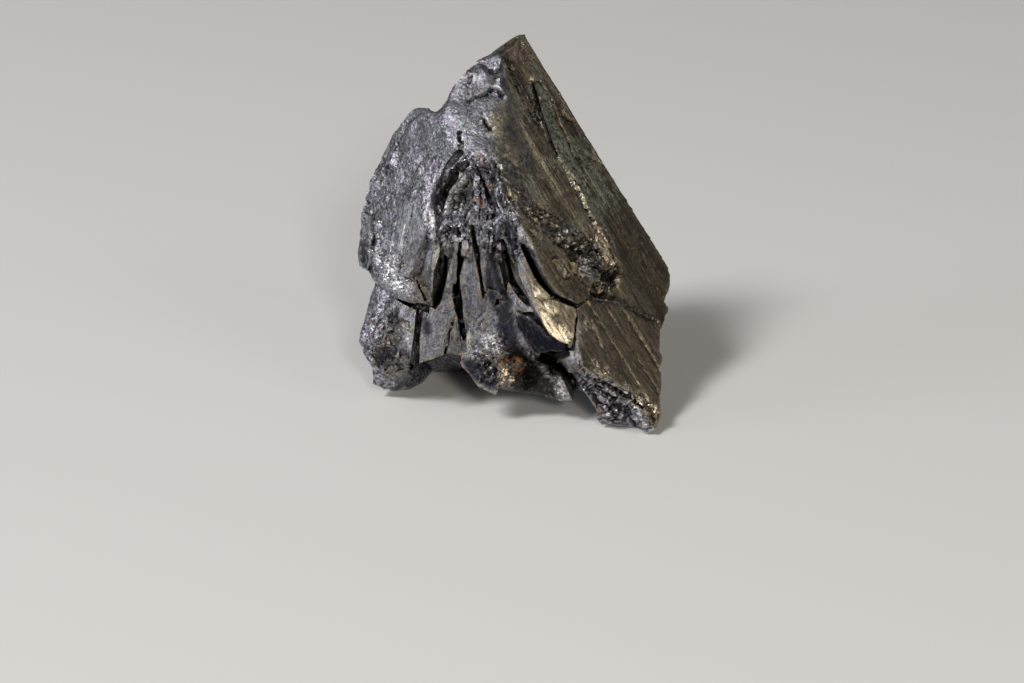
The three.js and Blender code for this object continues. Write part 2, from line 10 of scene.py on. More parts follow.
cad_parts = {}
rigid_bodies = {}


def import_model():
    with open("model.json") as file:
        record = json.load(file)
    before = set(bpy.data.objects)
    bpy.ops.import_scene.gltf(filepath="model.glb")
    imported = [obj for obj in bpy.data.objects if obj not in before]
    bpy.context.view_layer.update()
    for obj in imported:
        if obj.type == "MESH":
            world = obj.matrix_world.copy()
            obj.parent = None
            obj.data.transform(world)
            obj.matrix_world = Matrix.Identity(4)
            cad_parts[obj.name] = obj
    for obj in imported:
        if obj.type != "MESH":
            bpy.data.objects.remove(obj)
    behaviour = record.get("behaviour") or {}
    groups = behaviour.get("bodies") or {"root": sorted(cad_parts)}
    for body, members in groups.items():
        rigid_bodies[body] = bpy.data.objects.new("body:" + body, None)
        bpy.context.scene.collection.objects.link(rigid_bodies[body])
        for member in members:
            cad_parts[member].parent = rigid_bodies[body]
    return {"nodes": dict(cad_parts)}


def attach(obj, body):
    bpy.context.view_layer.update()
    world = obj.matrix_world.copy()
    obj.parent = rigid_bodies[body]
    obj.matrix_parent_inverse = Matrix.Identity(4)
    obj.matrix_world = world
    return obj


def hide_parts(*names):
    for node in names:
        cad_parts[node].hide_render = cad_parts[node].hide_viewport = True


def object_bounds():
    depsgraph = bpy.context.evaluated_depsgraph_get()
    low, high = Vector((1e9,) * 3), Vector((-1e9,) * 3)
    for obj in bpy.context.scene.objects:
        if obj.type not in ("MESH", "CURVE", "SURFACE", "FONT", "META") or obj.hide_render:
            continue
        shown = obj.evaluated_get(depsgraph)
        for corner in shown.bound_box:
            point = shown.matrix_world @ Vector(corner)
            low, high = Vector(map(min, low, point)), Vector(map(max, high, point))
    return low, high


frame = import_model()
cad_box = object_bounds()

# ---- The group as it broke from the vein -----------------------------------------------------
# One natural group of andorite, a lead-silver-antimony sulphide that grew as a sheaf of prisms
# and was broken out with the crumbly ore around it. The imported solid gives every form. The open
# gaps between the blades are cut wider and deeper here, and a fine skin is laid over the result.

MM = 0.001
MERGED = 1e-7

# The front view that the gaps and stains are laid out on: millimetres right of and above the
# middle of the group, for an eye 20 degrees above the floor.
MIDDLE = np.array([-0.216, 3.05, 4.77])
EYE_DISTANCE = 432.4
EYE_HEIGHT = math.radians(20)
RIGHT = np.array([1.0, 0.0, 0.0])
UP = np.array([0.0, math.sin(EYE_HEIGHT), math.cos(EYE_HEIGHT)])
TOWARD_EYE = np.array([0.0, -math.cos(EYE_HEIGHT), math.sin(EYE_HEIGHT)])
EYE = MIDDLE + EYE_DISTANCE * TOWARD_EYE

packed = frame["nodes"]["andorite_cluster"]
rough = bmesh.new()
rough.from_mesh(packed.data)
bmesh.ops.remove_doubles(rough, verts=rough.verts, dist=MERGED)
rough_tree = BVHTree.FromBMesh(rough)
group_mesh = bpy.data.meshes.new("andorite_group")
rough.to_mesh(group_mesh)
rough.free()
andorite_group = bpy.data.objects.new("andorite_group", group_mesh)
bpy.context.scene.collection.objects.link(andorite_group)

# Each gap runs along points given as right, up and width on the front view, and goes this deep.
GAPS = [
    (4.0, [(-7.0, 9.3, 0.3), (-7.4, 6.9, 0.8), (-8.1, 4.7, 0.9), (-8.5, 3.6, 0.3)]),
    (5.0, [(-5.4, 10.8, 0.35), (-5.8, 7.6, 0.8), (-6.2, 4.9, 0.75), (-5.6, 2.4, 0.5),
           (-5.1, -1.2, 0.7)]),
    (4.0, [(-10.2, 3.6, 0.3), (-10.4, 1.0, 0.35), (-10.7, -1.9, 0.5), (-11.1, -3.0, 0.6)]),
    (2.5, [(-6.3, 2.1, 0.2), (-7.1, 0.3, 0.35), (-7.2, -1.3, 0.35)]),
    (3.0, [(-4.3, 12.2, 0.3), (-3.9, 9.9, 0.65), (-3.5, 7.6, 0.45), (-3.1, 4.6, 0.25)]),
    (4.0, [(-1.0, 11.2, 0.3), (-0.7, 9.0, 0.8), (-0.2, 6.9, 0.95), (0.9, 5.1, 0.8),
           (1.9, 3.8, 0.35)]),
    (3.5, [(1.0, 10.6, 0.4), (1.9, 8.8, 0.75), (2.9, 6.8, 0.8), (4.3, 5.1, 0.5), (6.7, 3.9, 0.4)]),
    (3.0, [(2.9, -1.6, 1.1), (4.4, -2.2, 1.4), (5.6, -3.2, 0.9), (7.4, -5.3, 0.6),
           (9.2, -8.0, 0.7)]),
    (1.2, [(9.4, -4.0, 0.4), (11.2, -5.1, 0.5), (12.8, -6.2, 0.4), (14.2, -7.2, 0.3)]),
    (1.5, [(6.9, 2.6, 0.3), (6.8, 0.6, 0.35), (6.5, -1.0, 0.35)]),
    (1.6, [(-5.3, 20.7, 0.7), (-6.5, 19.4, 0.9), (-7.9, 16.5, 0.8), (-8.2, 14.4, 0.5)]),
    (1.5, [(2.2, 28.0, 0.3), (3.1, 24.5, 0.6), (4.1, 21.8, 0.5), (5.0, 19.8, 0.2)]),
    (1.5, [(-10.7, 7.6, 0.25), (-10.0, 5.9, 0.4), (-9.3, 4.4, 0.4)]),
    (1.5, [(-4.0, 19.4, 0.3), (-3.3, 17.6, 0.5), (-2.5, 15.5, 0.6), (-1.6, 13.4, 0.4)]),
    (3.0, [(-12.3, 4.6, 0.4), (-10.7, 3.9, 0.9), (-8.9, 3.5, 1.0)]),
]


def surface_at(right, up):
    """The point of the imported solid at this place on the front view, and the way it faces there."""
    ray = MIDDLE + right * RIGHT + up * UP - EYE
    point, facing = rough_tree.ray_cast(Vector(EYE * MM), Vector(ray))[:2]
    return np.array(point) / MM, np.array(facing)


# A gap is cut by wedges. Each starts this far out in the open, and its near and far sides are
# these shares of the gap's width.
WEDGE_LEAD = 3.0
WEDGE_NEAR = 1.1
WEDGE_FAR = 0.7


def wedge(start, end, depth):
    """A cutter between two points of a gap, narrower at its far side."""
    points = [surface_at(right, up)[0] for right, up, _ in (start, end)]
    inward = -TOWARD_EYE
    side = np.cross(points[1] - points[0], inward)
    side /= np.linalg.norm(side)
    shape = bmesh.new()
    for point, (_, _, width) in zip(points, (start, end)):
        for half in (-0.5 * width, 0.5 * width):
            shape.verts.new((point + WEDGE_NEAR * half * side - WEDGE_LEAD * inward) * MM)
            shape.verts.new((point + WEDGE_FAR * half * side + depth * inward) * MM)
    bmesh.ops.convex_hull(shape, input=shape.verts)
    mesh = bpy.data.meshes.new("wedge")
    shape.to_mesh(mesh)
    shape.free()
    return bpy.data.objects.new("wedge", mesh)


# Where the ore is crumbled, small prisms stand a little out of it. Each bed has their number,
# mean length and half width, the way they grew, how far they stray from it, and an outline.
DOWN_FAN = (-0.1, -0.2, -1.0)
DOWN_ROOF = (0.52, -0.22, -0.82)
BEDS = [
    (44, 2.5, 0.33, DOWN_FAN, 0.16,
     [(-5.4, 19.6), (-2.2, 18.8), (0.4, 14.4), (0.6, 9.8), (-7.0, 9.8), (-7.2, 14.0)]),
    (44, 2.0, 0.36, DOWN_ROOF, 0.25,
     [(6.4, -1.4), (8.4, -3.2), (13.6, -6.6), (15.4, -8.6), (10.8, -8.4), (7.4, -5.2)]),
    (40, 0.9, 0.24, DOWN_FAN, 0.9,
     [(-4.0, -1.0), (-1.2, 0.6), (0.2, -1.4), (-0.8, -3.8), (-3.2, -4.2)]),
    (70, 1.0, 0.25, DOWN_ROOF, 0.8,
     [(-0.4, 16.6), (2.4, 14.6), (5.6, 11.4), (9.4, 9.2), (7.4, 6.6), (3.6, 8.8), (0.2, 13.0)]),
    (40, 0.9, 0.3, DOWN_FAN, 1.0,
     [(-15.2, 3.0), (-11.8, 2.8), (-11.0, -1.0), (-12.6, -3.8), (-15.2, -3.0)]),
    (40, 0.8, 0.2, DOWN_FAN, 0.9,
     [(-14.0, 8.4), (-12.4, 9.0), (-10.9, 7.6), (-10.6, 5.6), (-12.0, 5.4), (-13.2, 6.4)]),
    (30, 1.1, 0.22, DOWN_ROOF, 0.6,
     [(-1.0, -1.4), (0.8, -0.8), (3.6, -2.2), (4.8, -4.4), (3.0, -5.6), (-0.6, -4.8)]),
]
SEED = 4117
chance = np.random.default_rng(SEED)

# A prism's size is its bed's mean times a share in this range, and this much of its slope into or
# out of the ore is taken away, so that it lies on the surface.
SIZE_RANGE = (0.6, 1.5)
LAID_DOWN = 0.8

# The outline of a prism across its growth, in half widths, and how far its ends slant.
PRISM_CORNERS = [(-1, -0.6), (1, -0.6), (1.1, 0.3), (0.3, 1), (-0.5, 0.9), (-1.1, 0.2)]
PRISM_SLANT = 0.25


def inside(outline, right, up):
    """Whether a place on the front view lies inside an outline."""
    crossings = 0
    for (x0, y0), (x1, y1) in zip(outline, outline[1:] + outline[:1]):
        if (y0 > up) != (y1 > up):
            crossings += right < x0 + (x1 - x0) * (up - y0) / (y1 - y0)
    return crossings % 2 == 1


def prism(middle, length, half_width, growth, facing):
    """A small blunt prism, given by its middle, its size and the way it grew."""
    side = np.cross(facing, growth)
    side /= np.linalg.norm(side)
    top = np.cross(growth, side)
    shape = bmesh.new()
    for end in (-0.5, 0.5):
        for sideways, out in PRISM_CORNERS:
            slope = end * (1 + PRISM_SLANT * sideways * end) * length
            corner = middle + slope * growth + half_width * (sideways * side + out * top)
            shape.verts.new(corner * MM)
    bmesh.ops.convex_hull(shape, input=shape.verts)
    mesh = bpy.data.meshes.new("prism")
    shape.to_mesh(mesh)
    shape.free()
    return bpy.data.objects.new("prism", mesh)


crystals = bpy.data.collections.new("crystals")
for number, mean_length, mean_half, way, stray, outline in BEDS:
    lowest, highest = np.min(outline, axis=0), np.max(outline, axis=0)
    for _ in range(number):
        right, up = chance.uniform(lowest, highest)
        growth = np.array(way) + stray * chance.normal(size=3)
        length, half_width = np.array([mean_length, mean_half]) * chance.uniform(*SIZE_RANGE, 2)
        if inside(outline, right, up):
            point, facing = surface_at(right, up)
            growth -= LAID_DOWN * (growth @ facing) * facing
            growth /= np.linalg.norm(growth)
            crystals.objects.link(prism(point, length, half_width, growth, facing))
cutters = bpy.data.collections.new("cutters")
for depth, path in GAPS:
    for start, end in zip(path, path[1:]):
        cutters.objects.link(wedge(start, end, depth))


def settle(thing):
    """Applies an object's modifiers to its own mesh."""
    finished = thing.evaluated_get(bpy.context.evaluated_depsgraph_get())
    mesh = bpy.data.meshes.new_from_object(finished)
    thing.modifiers.clear()
    thing.data = mesh
    return mesh


for shapes, operation in ((crystals, "UNION"), (cutters, "DIFFERENCE")):
    bpy.context.scene.collection.children.link(shapes)
    join = andorite_group.modifiers.new(shapes.name, "BOOLEAN")
    join.operation = operation
    join.operand_type = "COLLECTION"
    join.collection = shapes
    join.solver = "EXACT"
    join.use_self = operation == "UNION"
settle(andorite_group)
for shapes in (crystals, cutters):
    for shape in list(shapes.objects):
        bpy.data.objects.remove(shape)
    bpy.data.collections.remove(shapes)

# The skin's grid has 256 cells a side, and the group takes up this share of it.
SKIN_DEPTH = 8
SKIN_SCALE = 0.53
SKIN_SHARPNESS = 1.0
skin = andorite_group.modifiers.new("skin", "REMESH")
skin.mode = "SHARP"
skin.octree_depth = SKIN_DEPTH
skin.scale = SKIN_SCALE
skin.sharpness = SKIN_SHARPNESS
skin.use_remove_disconnected = True
group_mesh = settle(andorite_group)

# Where two walls share one cell of the skin, its faces meet at more than a simple edge. Such
# edges are drawn together until every edge has two faces.
TIDY_ROUNDS = 6
SLIVER = 0.001 * MM
whole = bmesh.new()
whole.from_mesh(group_mesh)
for _ in range(TIDY_ROUNDS):
    tangled = [edge for edge in whole.edges if len(edge.link_faces) != 2]
    if not tangled:
        break
    bmesh.ops.collapse(whole, edges=tangled)
    bmesh.ops.dissolve_degenerate(whole, dist=SLIVER, edges=whole.edges)
bmesh.ops.recalc_face_normals(whole, faces=whole.faces)
whole.to_mesh(group_mesh)
whole.free()

count = len(group_mesh.vertices)
place = np.zeros(count * 3)
group_mesh.vertices.foreach_get("co", place)
place = place.reshape(-1, 3) / MM


def laid(points):
    """Moves the mesh to these points and returns its new normals."""
    group_mesh.vertices.foreach_set("co", (points * MM).ravel())
    group_mesh.update()
    normals = np.zeros(count * 3)
    group_mesh.vertex_normals.foreach_get("vector", normals)
    return normals.reshape(-1, 3)


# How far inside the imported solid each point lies. It is above 0 in the cut gaps.
cut_depth = np.zeros(count)
for number, point in enumerate(place):
    nearest, facing, _, away = rough_tree.find_nearest(Vector(point * MM))
    if (Vector(point * MM) - nearest).dot(facing) < 0:
        cut_depth[number] = away / MM

# Large odd numbers that scatter neighbouring cells far apart.
HASH_FACTORS = (73856093, 19349663, 83492791)
HASH_SALT = 2654435761
HASH_MIX = 1274126177


def hashed(cell, salt):
    """A repeatable random number from 0 to 1 for each whole-numbered cell."""
    x, y, z = (cell[:, axis] * HASH_FACTORS[axis] for axis in range(3))
    bits = x ^ y ^ z ^ salt * HASH_SALT
    bits = (bits ^ (bits >> 13)) * HASH_MIX & 0xFFFFFFFF
    return (bits ^ (bits >> 16) & 0xFFFF) % 65536 / 65535


def swells(at, size, salt=0):
    """Smooth noise from -1 to 1 whose hills are about one size apart, another for each salt."""
    scaled = at / size
    cell = np.floor(scaled).astype(np.int64)
    part = scaled - cell
    part = part * part * (3 - 2 * part)
    total = np.zeros(len(at))
    for corner in np.ndindex(2, 2, 2):
        weight = np.prod(np.where(corner, part, 1 - part), axis=1)
        total += weight * hashed(cell + corner, salt)
    return 2 * total - 1


def ramp(value, low, high):
    """Rises smoothly from 0 at low to 1 at high."""
    share = np.clip((value - low) / (high - low), 0, 1)
    return share * share * (3 - 2 * share)


# Where each point stands on the front view. Only faces turned to the eye take what is laid out
# there, from a grazing one that takes none to one turned enough to take all.
GRAZING, TURNED = 0.02, 0.2
normal = laid(place)
from_eye = place - EYE
shrink = EYE_DISTANCE / -(from_eye @ TOWARD_EYE)
seen = np.stack([from_eye @ RIGHT * shrink, from_eye @ UP * shrink], axis=1)
in_front = ramp(normal @ TOWARD_EYE, GRAZING, TURNED)

# A waver that makes every edge ragged.
WIDE_WAVER, FINE_WAVER = 1.6, 0.6
wander = swells(place, WIDE_WAVER, 11) + 0.5 * swells(place, FINE_WAVER, 12)

# ---- The roof of prisms ----------------------------------------------------------------------
# The right side: long prisms grown together in one face, striated along their growth. A belt of
# it has crumbled, grains fill a band beside the open seam, and a break runs across it.


def unit(x, y, z):
    return np.array([x, y, z]) / math.sqrt(x * x + y * y + z * z)


ROOF_CORNER = np.array([1.4, 13.15, 35.9])
ROOF_DOWN = unit(0.524, -0.22, -0.822)
ROOF_OUT = unit(0.725, -0.391, 0.567)
ROOF_ACROSS = np.cross(ROOF_OUT, ROOF_DOWN)
from_corner = place - ROOF_CORNER
down = from_corner @ ROOF_DOWN
across = from_corner @ ROOF_ACROSS
above = from_corner @ ROOF_OUT

# The roof is what lies near its plane and faces out of it, right of this ragged left edge, which
# is given as down and across.
ROOF_LEFT = [
    (-1, -5), (0, -7.2), (2.4, -8.4), (4, -9.6), (6.9, -12.6), (9, -14.2), (10.6, -17),
    (11.8, -19.4), (16.7, -20.8), (18.3, -21), (23, -23.6), (26, -24), (31.6, -24.6), (34.7, -21.4),
    (38.2, -19), (44, -19.4),
]
roof_left = np.interp(down, *zip(*ROOF_LEFT))
on_roof = ramp(above, -1.5, -0.9) * ramp(across - roof_left + 0.4 * wander, -0.5, 0.5)
on_roof *= ramp(normal @ ROOF_OUT, 0.3, 0.6) * ramp(-across, -0.7, -0.2)


def to_line(start, end):
    """The distance from each point to a line on the front view, and the share of the way along."""
    start, end = np.array(start), np.array(end)
    along = end - start
    offset = seen - start
    share = np.clip(offset @ along / (along @ along), 0, 1)
    return np.linalg.norm(offset - share[:, None] * along, axis=1), share


def patch(outline, soft=0.25):
    """1 inside an outline on the front view and 0 outside, with a ragged edge."""
    best = np.full(count, 99.0)
    within = np.zeros(count, bool)
    for start, end in zip(outline, outline[1:] + outline[:1]):
        best = np.minimum(best, to_line(start, end)[0])
        if start[1] != end[1]:
            crosses = (start[1] > seen[:, 1]) != (end[1] > seen[:, 1])
            slope = (end[0] - start[0]) / (end[1] - start[1])
            within ^= crosses & (seen[:, 0] < start[0] + (seen[:, 1] - start[1]) * slope)
    return ramp(np.where(within, best, -best) + 0.2 * wander, -soft, soft) * in_front


def crack(path):
    """1 in the middle of a line of right, up and width points, fading to 0 at its edges."""
    depth = np.zeros(count)
    for start, end in zip(path, path[1:]):
        away, share = to_line(start[:2], end[:2])
        width = start[2] + share * (end[2] - start[2])
        depth = np.maximum(depth, np.clip(1 - away / width, 0, 1))
    return depth * in_front


# Fine ore from the crown laps over the roof's upper edge as a crust.
CRUST = [
    (-1.6, 26.1), (-0.4, 25.2), (1.1, 23.1), (1.9, 19.6), (1.5, 16.9), (1.8, 14.5), (0.2, 14.2),
    (-1.0, 15.7), (-1.6, 18.5), (-2.2, 21.8), (-2.6, 24.1),
]
in_crust = patch(CRUST, 0.5)
on_roof *= 1 - in_crust

# Each edge of the mesh, once in each direction.
ends = np.zeros(len(group_mesh.edges) * 2, np.int32)
group_mesh.edges.foreach_get("vertices", ends)
ends = ends.reshape(-1, 2)
starts, stops = np.concatenate([ends, ends[:, ::-1]]).T
neighbours = np.bincount(starts, minlength=count)


def beside(points):
    """The middle of the points that each point shares an edge with."""
    columns = [np.bincount(starts, points[stops, axis], count) for axis in range(3)]
    return np.stack(columns, axis=1) / neighbours[:, None]


# The fine-grained top has weathered round, and so has the edge where its crust laps on the roof.
CROWN_START = (19, 22)
ROUNDING = 40
STEP = 0.5
weathered = ramp(place[:, 2], *CROWN_START) * ramp(-place[:, 2], -35.5, -33.5)
weathered *= ramp(-place[:, 1], -4, -2) * ramp(-normal @ ROOF_OUT, -0.93, -0.85)
weathered = np.maximum(weathered, patch(CRUST, 0.9)) * ramp(-cut_depth, -0.6, -0.2)
for _ in range(ROUNDING):
    place += STEP * weathered[:, None] * (beside(place) - place)
normal = laid(place)

# The bright slab shows under the roof's lip.
SLAB = [
    (1.3, 7.8), (1.6, 6.3), (2.3, 4.6), (3.1, 2.5), (4.0, 1.0), (5.0, 0.1), (5.8, -0.3), (6.8, 0.3),
    (7.0, 2.1), (7.1, 3.5), (6.0, 4.3), (4.6, 4.7), (3.9, 5.3), (3.1, 6.5), (2.7, 7.6), (2.1, 8.3),
]
on_slab = patch(SLAB, 0.12)

# The crumbled belt is given as down, across and half width on the roof, and the band of grains as
# down and across. Both fade out at their ends. A crystal shaped like a lens lies bare in the belt.
BELT = [
    (11, -19, 0.5), (14, -17.4, 1.5), (17, -15.8, 1.7), (20, -13.9, 2.1), (23, -12.3, 2.8),
    (26.5, -11.6, 2),
]
BAND = [(3, -2.3), (7, -4.1), (12, -5.6), (20, -6.9), (24.5, -8)]
BAND_HALF = 1.3
LENS = [(9.1, 12.5), (9.7, 11.8), (10.8, 9.9), (11.4, 7.9), (10.8, 8.1), (9.8, 9.3), (9.1, 11.0)]
belt_down, belt_across, belt_half = zip(*BELT)
in_belt = np.interp(down, belt_down, belt_half) + 0.6 * wander
from_belt = np.abs(across - np.interp(down, belt_down, belt_across))
in_belt = on_roof * ramp(in_belt - from_belt, -0.3, 0.4)
in_belt *= ramp(down, 11.2, 12.5) * ramp(-down, -27.2, -26.4)
lens = patch(LENS, 0.1) * on_roof
in_belt *= 1 - lens
from_band = np.abs(across - np.interp(down, *zip(*BAND)))
in_band = on_roof * ramp(BAND_HALF + 0.4 * wander - from_band, -0.2, 0.4)
in_band *= ramp(down, 3.4, 4.8) * ramp(-down, -25, -23.5)

# The widths and heights of the striae, and how far along them their fine lines come and go.
WIDE_STEP, NARROW_STEP, STEP_HEIGHT = 2.7, 1.4, 0.07
LINE, LINE_HEIGHT = 0.9, 0.08
HAIR, HAIR_HEIGHT = 0.45, 0.05
LINE_LENGTH = 3.0


def striae(growth, salt):
    """Ridges along the growth: wide and narrow steps, and fine lines that come and go."""
    steps = np.round(swells(growth, WIDE_STEP, salt) * 3) / 3
    ridges = LINE_HEIGHT * swells(growth, LINE, salt + 1)
    ridges += HAIR_HEIGHT * swells(growth, HAIR, salt + 2)
    steps += 0.5 * np.round(swells(growth, NARROW_STEP, salt + 4) * 2) / 2
    return STEP_HEIGHT * steps + ridges * (0.75 + 0.6 * swells(place, LINE_LENGTH, salt + 3))


def line_on_roof(path, half):
    """1 along a line given as down and across on the roof, fading out at this half width."""
    nearest = np.full(count, 99.0)
    at = np.stack([down, across], axis=1)
    for start, end in zip(path, path[1:]):
        along = np.array(end) - start
        share = np.clip((at - start) @ along / (along @ along), 0, 1)
        nearest = np.minimum(nearest, np.linalg.norm(at - start - share[:, None] * along, axis=1))
    return np.clip(1 - (nearest + 0.12 * wander) / half, 0, 1) * on_roof


# At the belt's lower end are a green lump and a hollow. A small rod lies in a moat further left.
LUMP_AT = (24.2, -13.4)
LUMP_RADIUS = 1.6
from_lump = np.hypot(down - LUMP_AT[0], across - LUMP_AT[1])
lump = on_roof * ramp(LUMP_RADIUS - from_lump + 0.3 * wander, 0, 0.5 * LUMP_RADIUS)
HOLLOW = [(8.6, 5.3), (9.2, 6.9), (10.2, 7.8), (11.5, 8.3), (11.5, 6.4), (9.7, 4.6)]
hollow = patch(HOLLOW, 0.3) * on_roof
ROD = [(4.8, 8.8), (5.9, 7.2)]
from_rod = to_line(*ROD)[0]
rod = ramp(-from_rod, -0.3, -0.12) * on_roof
beside_rod = ramp(from_rod, 0.25, 0.4) * ramp(-from_rod, -0.65, -0.45) * on_roof

# An open seam and a shallow groove run down the roof. The break parts its upper plate from its
# lower one, and short cracks cross it elsewhere.
SEAM = [(3.9, -3.7), (5.7, -4.4), (7.3, -5.8), (10, -6.9), (12.2, -7)]
SEAM_END = [(12.2, -7), (17.1, -7.5), (21.4, -8.3), (26, -9.2)]
GROOVE = [(0.7, -6.1), (4, -6.6), (7.9, -7)]
BREAK = [(27.0, -15.2), (27.6, -13.4), (28.2, -11.9)]
BREAK_END = [(28.2, -11.9), (30.4, -10.1), (32.5, -7.6)]
CROSS_CRACKS = [
    [(5.2, 25.0, 0.2), (6.0, 24.1, 0.25), (7.0, 23.6, 0.15)],
    [(7.6, 20.7, 0.15), (8.4, 19.8, 0.25), (9.5, 19.4, 0.15)],
    [(8.6, 2.2, 0.15), (9.3, 0.4, 0.2), (9.6, -0.6, 0.12)],
]
seam = np.maximum(line_on_roof(SEAM, 0.45), 0.9 * line_on_roof(SEAM_END, 0.5))
groove = line_on_roof(GROOVE, 0.8)
breaks = np.maximum(line_on_roof(BREAK, 0.35), 0.25 * line_on_roof(BREAK_END, 0.3))
for path in CROSS_CRACKS:
    breaks = np.maximum(breaks, 0.5 * crack(path) * on_roof)

# The lower edge of the upper plate, along the break. It is rounded, and painted shade darkens it as
# the upper plate's shadow.
LIP = [(26.6, -15.6), (27.6, -13.4), (28.2, -11.9), (30.4, -10.1), (32.5, -7.6), (34.5, -4)]
lip = line_on_roof(LIP, 1.0)

# Noise is squeezed along the growth, which draws it out into long ridges.
ROOF_SQUEEZE = 0.1
SEAM_DEPTH = 1.2
GROOVE_DEPTH = 0.45
BREAK_DEPTH = 0.8
LUMP_HEIGHT = 0.35
HOLLOW_DEPTH = 0.9
LENS_HEIGHT = 0.3
ROD_HEIGHT = 0.22
ROD_MOAT = 0.15
along_roof = np.stack([down * ROOF_SQUEEZE, across, above], axis=1)
roof_relief = striae(along_roof, 1) - SEAM_DEPTH * seam - GROOVE_DEPTH * groove
roof_relief -= BREAK_DEPTH * breaks
high_and_low = LUMP_HEIGHT * lump - HOLLOW_DEPTH * hollow + LENS_HEIGHT * lens
roof_relief += high_and_low + ROD_HEIGHT * rod - ROD_MOAT * beside_rod

# ---- The fan of blades -----------------------------------------------------------------------
# Under the prow, blades spread down from one point. They are smooth and finely striated along
# their length, and end raggedly over an arched hollow.

FAN_TOP = np.array([-4.2, -5.2, 23.5])
FAN_SQUEEZE = 0.08
FAN_SPREAD = 11
FAN_STRIAE = 1.5

# The fan is the front of the group under the root, from the left foot to the slab.
from_fan = place - FAN_TOP
reach = np.linalg.norm(from_fan, axis=1)
bearing = np.arctan2(from_fan[:, 0], -from_fan[:, 2])
along_fan = np.stack([reach * FAN_SQUEEZE, bearing * FAN_SPREAD, place[:, 1] * 0.5], axis=1)
in_fan = ramp(-place[:, 1], 2.6, 3.6) * ramp(-place[:, 2], -19.5, -17.5) * (1 - on_roof)
in_fan *= ramp(place[:, 0], -16, -15.2) * ramp(-seen[:, 0], -7.4, -6.6)
fan_relief = FAN_STRIAE * striae(along_fan, 7)

# ---- The crown and the lobe ------------------------------------------------------------------
# The top left is fine-grained ore with small pits and cracks. The lobe that hangs from it has one
# smooth panel with steep striae, and a raised, sparkling rim.

LOBE_DOWN = unit(-0.2, -0.33, -0.92)
LOBE_OUT = unit(-0.76, -0.58, 0.29)
LOBE_ACROSS = np.cross(LOBE_OUT, LOBE_DOWN)
LOBE_CORNER = np.array([-9.4, -0.85, 23.6])
LOBE_SQUEEZE = 0.06
panel_axes = np.stack([LOBE_DOWN * LOBE_SQUEEZE, LOBE_ACROSS, LOBE_OUT], axis=1)
along_lobe = (place - LOBE_CORNER) @ panel_axes
PANEL = [
    (-12.2, 15.0), (-10.4, 15.2), (-9.2, 12.0), (-8.6, 8.2), (-9.0, 5.6), (-10.6, 6.4),
    (-12.4, 10.0),
]
on_panel = patch(PANEL, 0.3)
RIDGE = [
    (-15.1, 9.8, 0.7), (-14.5, 8.2, 0.9), (-13.7, 6.8, 0.9), (-12.7, 5.8, 0.9), (-11.4, 4.9, 0.8),
    (-10.7, 4.6, 0.6),
]
ridge = crack(RIDGE)
in_crown = ramp(seen[:, 1], *CROWN_START) * (1 - on_roof)


def grains(at, size, salt=0):
    """A mosaic of tilted flat grains: the height on each grain, and the distance to its rim."""
    scaled = at / size
    cell = np.floor(scaled).astype(np.int64)
    nearest = np.full(len(at), 9.0)
    second = np.full(len(at), 9.0)
    height = np.zeros(len(at))
    for step in np.ndindex(3, 3, 3):
        other = cell + np.array(step) - 1
        offset = scaled - other - np.stack([hashed(other, salt + k) for k in range(3)], axis=1)
        away = np.linalg.norm(offset, axis=1)
        tilt = np.stack([hashed(other, salt + 3 + k) for k in range(3)], axis=1) * 2 - 1
        closer = away < nearest
        second = np.where(closer, nearest, np.minimum(second, away))
        plane = np.sum(offset * tilt, axis=1) + hashed(other, salt + 6) - 0.5
        height = np.where(closer, plane, height)
        nearest = np.where(closer, away, nearest)
    return height, second - nearest


def layered(at, size, layers, salt=0):
    """Several sizes of noise on top of each other, each half as large as the last."""
    return sum(swells(at, size / 2**layer, salt + layer) / 2**layer for layer in range(layers))


# Three sizes of grain, from two millimetres to half a millimetre, and how high each stands.
COARSE, MEDIUM, FINE = 2.2, 0.95, 0.5
COARSE_HEIGHT, MEDIUM_HEIGHT, FINE_HEIGHT = 0.05, 0.06, 0.07
RIM_DEPTH = 0.04
PIT_DEPTH = 0.3
WEATHER = 0.06
coarse, coarse_rim = grains(place + 0.5 * wander[:, None], COARSE, 20)
medium, medium_rim = grains(place + 0.2 * wander[:, None], MEDIUM, 30)
fine, _ = grains(place, FINE, 40)
pitted = ramp(swells(place, 1.3, 52), 0.55, 0.85)
crumbs = COARSE_HEIGHT * coarse + MEDIUM_HEIGHT * medium + FINE_HEIGHT * fine - PIT_DEPTH * pitted
crumbs += WEATHER * layered(place, 0.7, 2, 50)
crumbs -= RIM_DEPTH * ramp(-coarse_rim, -0.1, 0) + RIM_DEPTH * ramp(-medium_rim, -0.14, 0)

# ---- The crumbled root and feet --------------------------------------------------------------
# Between the lobe and the roof the fan grows from a tangle of short strips, which run down into
# the blades. Both feet, and the dark middle between them, are crumbled ore as well.

ROOT = [
    (-5.6, 20.6), (-1.4, 19.4), (0.6, 14.8), (0.9, 10.6), (0.2, 8.2), (-0.6, 10.6), (-1.4, 8.4),
    (-2.4, 11.0), (-3.6, 8.8), (-4.2, 11.4), (-5.3, 9.2), (-5.8, 11.4), (-6.8, 8.6), (-7.2, 11.0),
    (-8.2, 10.4), (-8.0, 14.0),
]
ROOT_HOLLOW = [
    (-7.1, 17.7), (-5.4, 18.3), (-4.5, 17.4), (-4.7, 15.3), (-6.2, 14.0), (-7.3, 13.7),
    (-7.7, 15.3),
]
in_root = patch(ROOT, 0.5)
ROOT_SQUEEZE = 0.2
ROOT_LEAN = 0.2
root_across = place[:, 0] + ROOT_LEAN * place[:, 2]
along_root = np.stack([place[:, 2] * ROOT_SQUEEZE, root_across, place[:, 1]], axis=1)
STRIP_SHAPE = (1.0, 0.7, 0.3)
STRIP_SIZE = 1.15
STRIP_HEIGHT = 0.35
STRIP_GAP = 0.4
ROOT_HOLLOW_DEPTH = 0.7
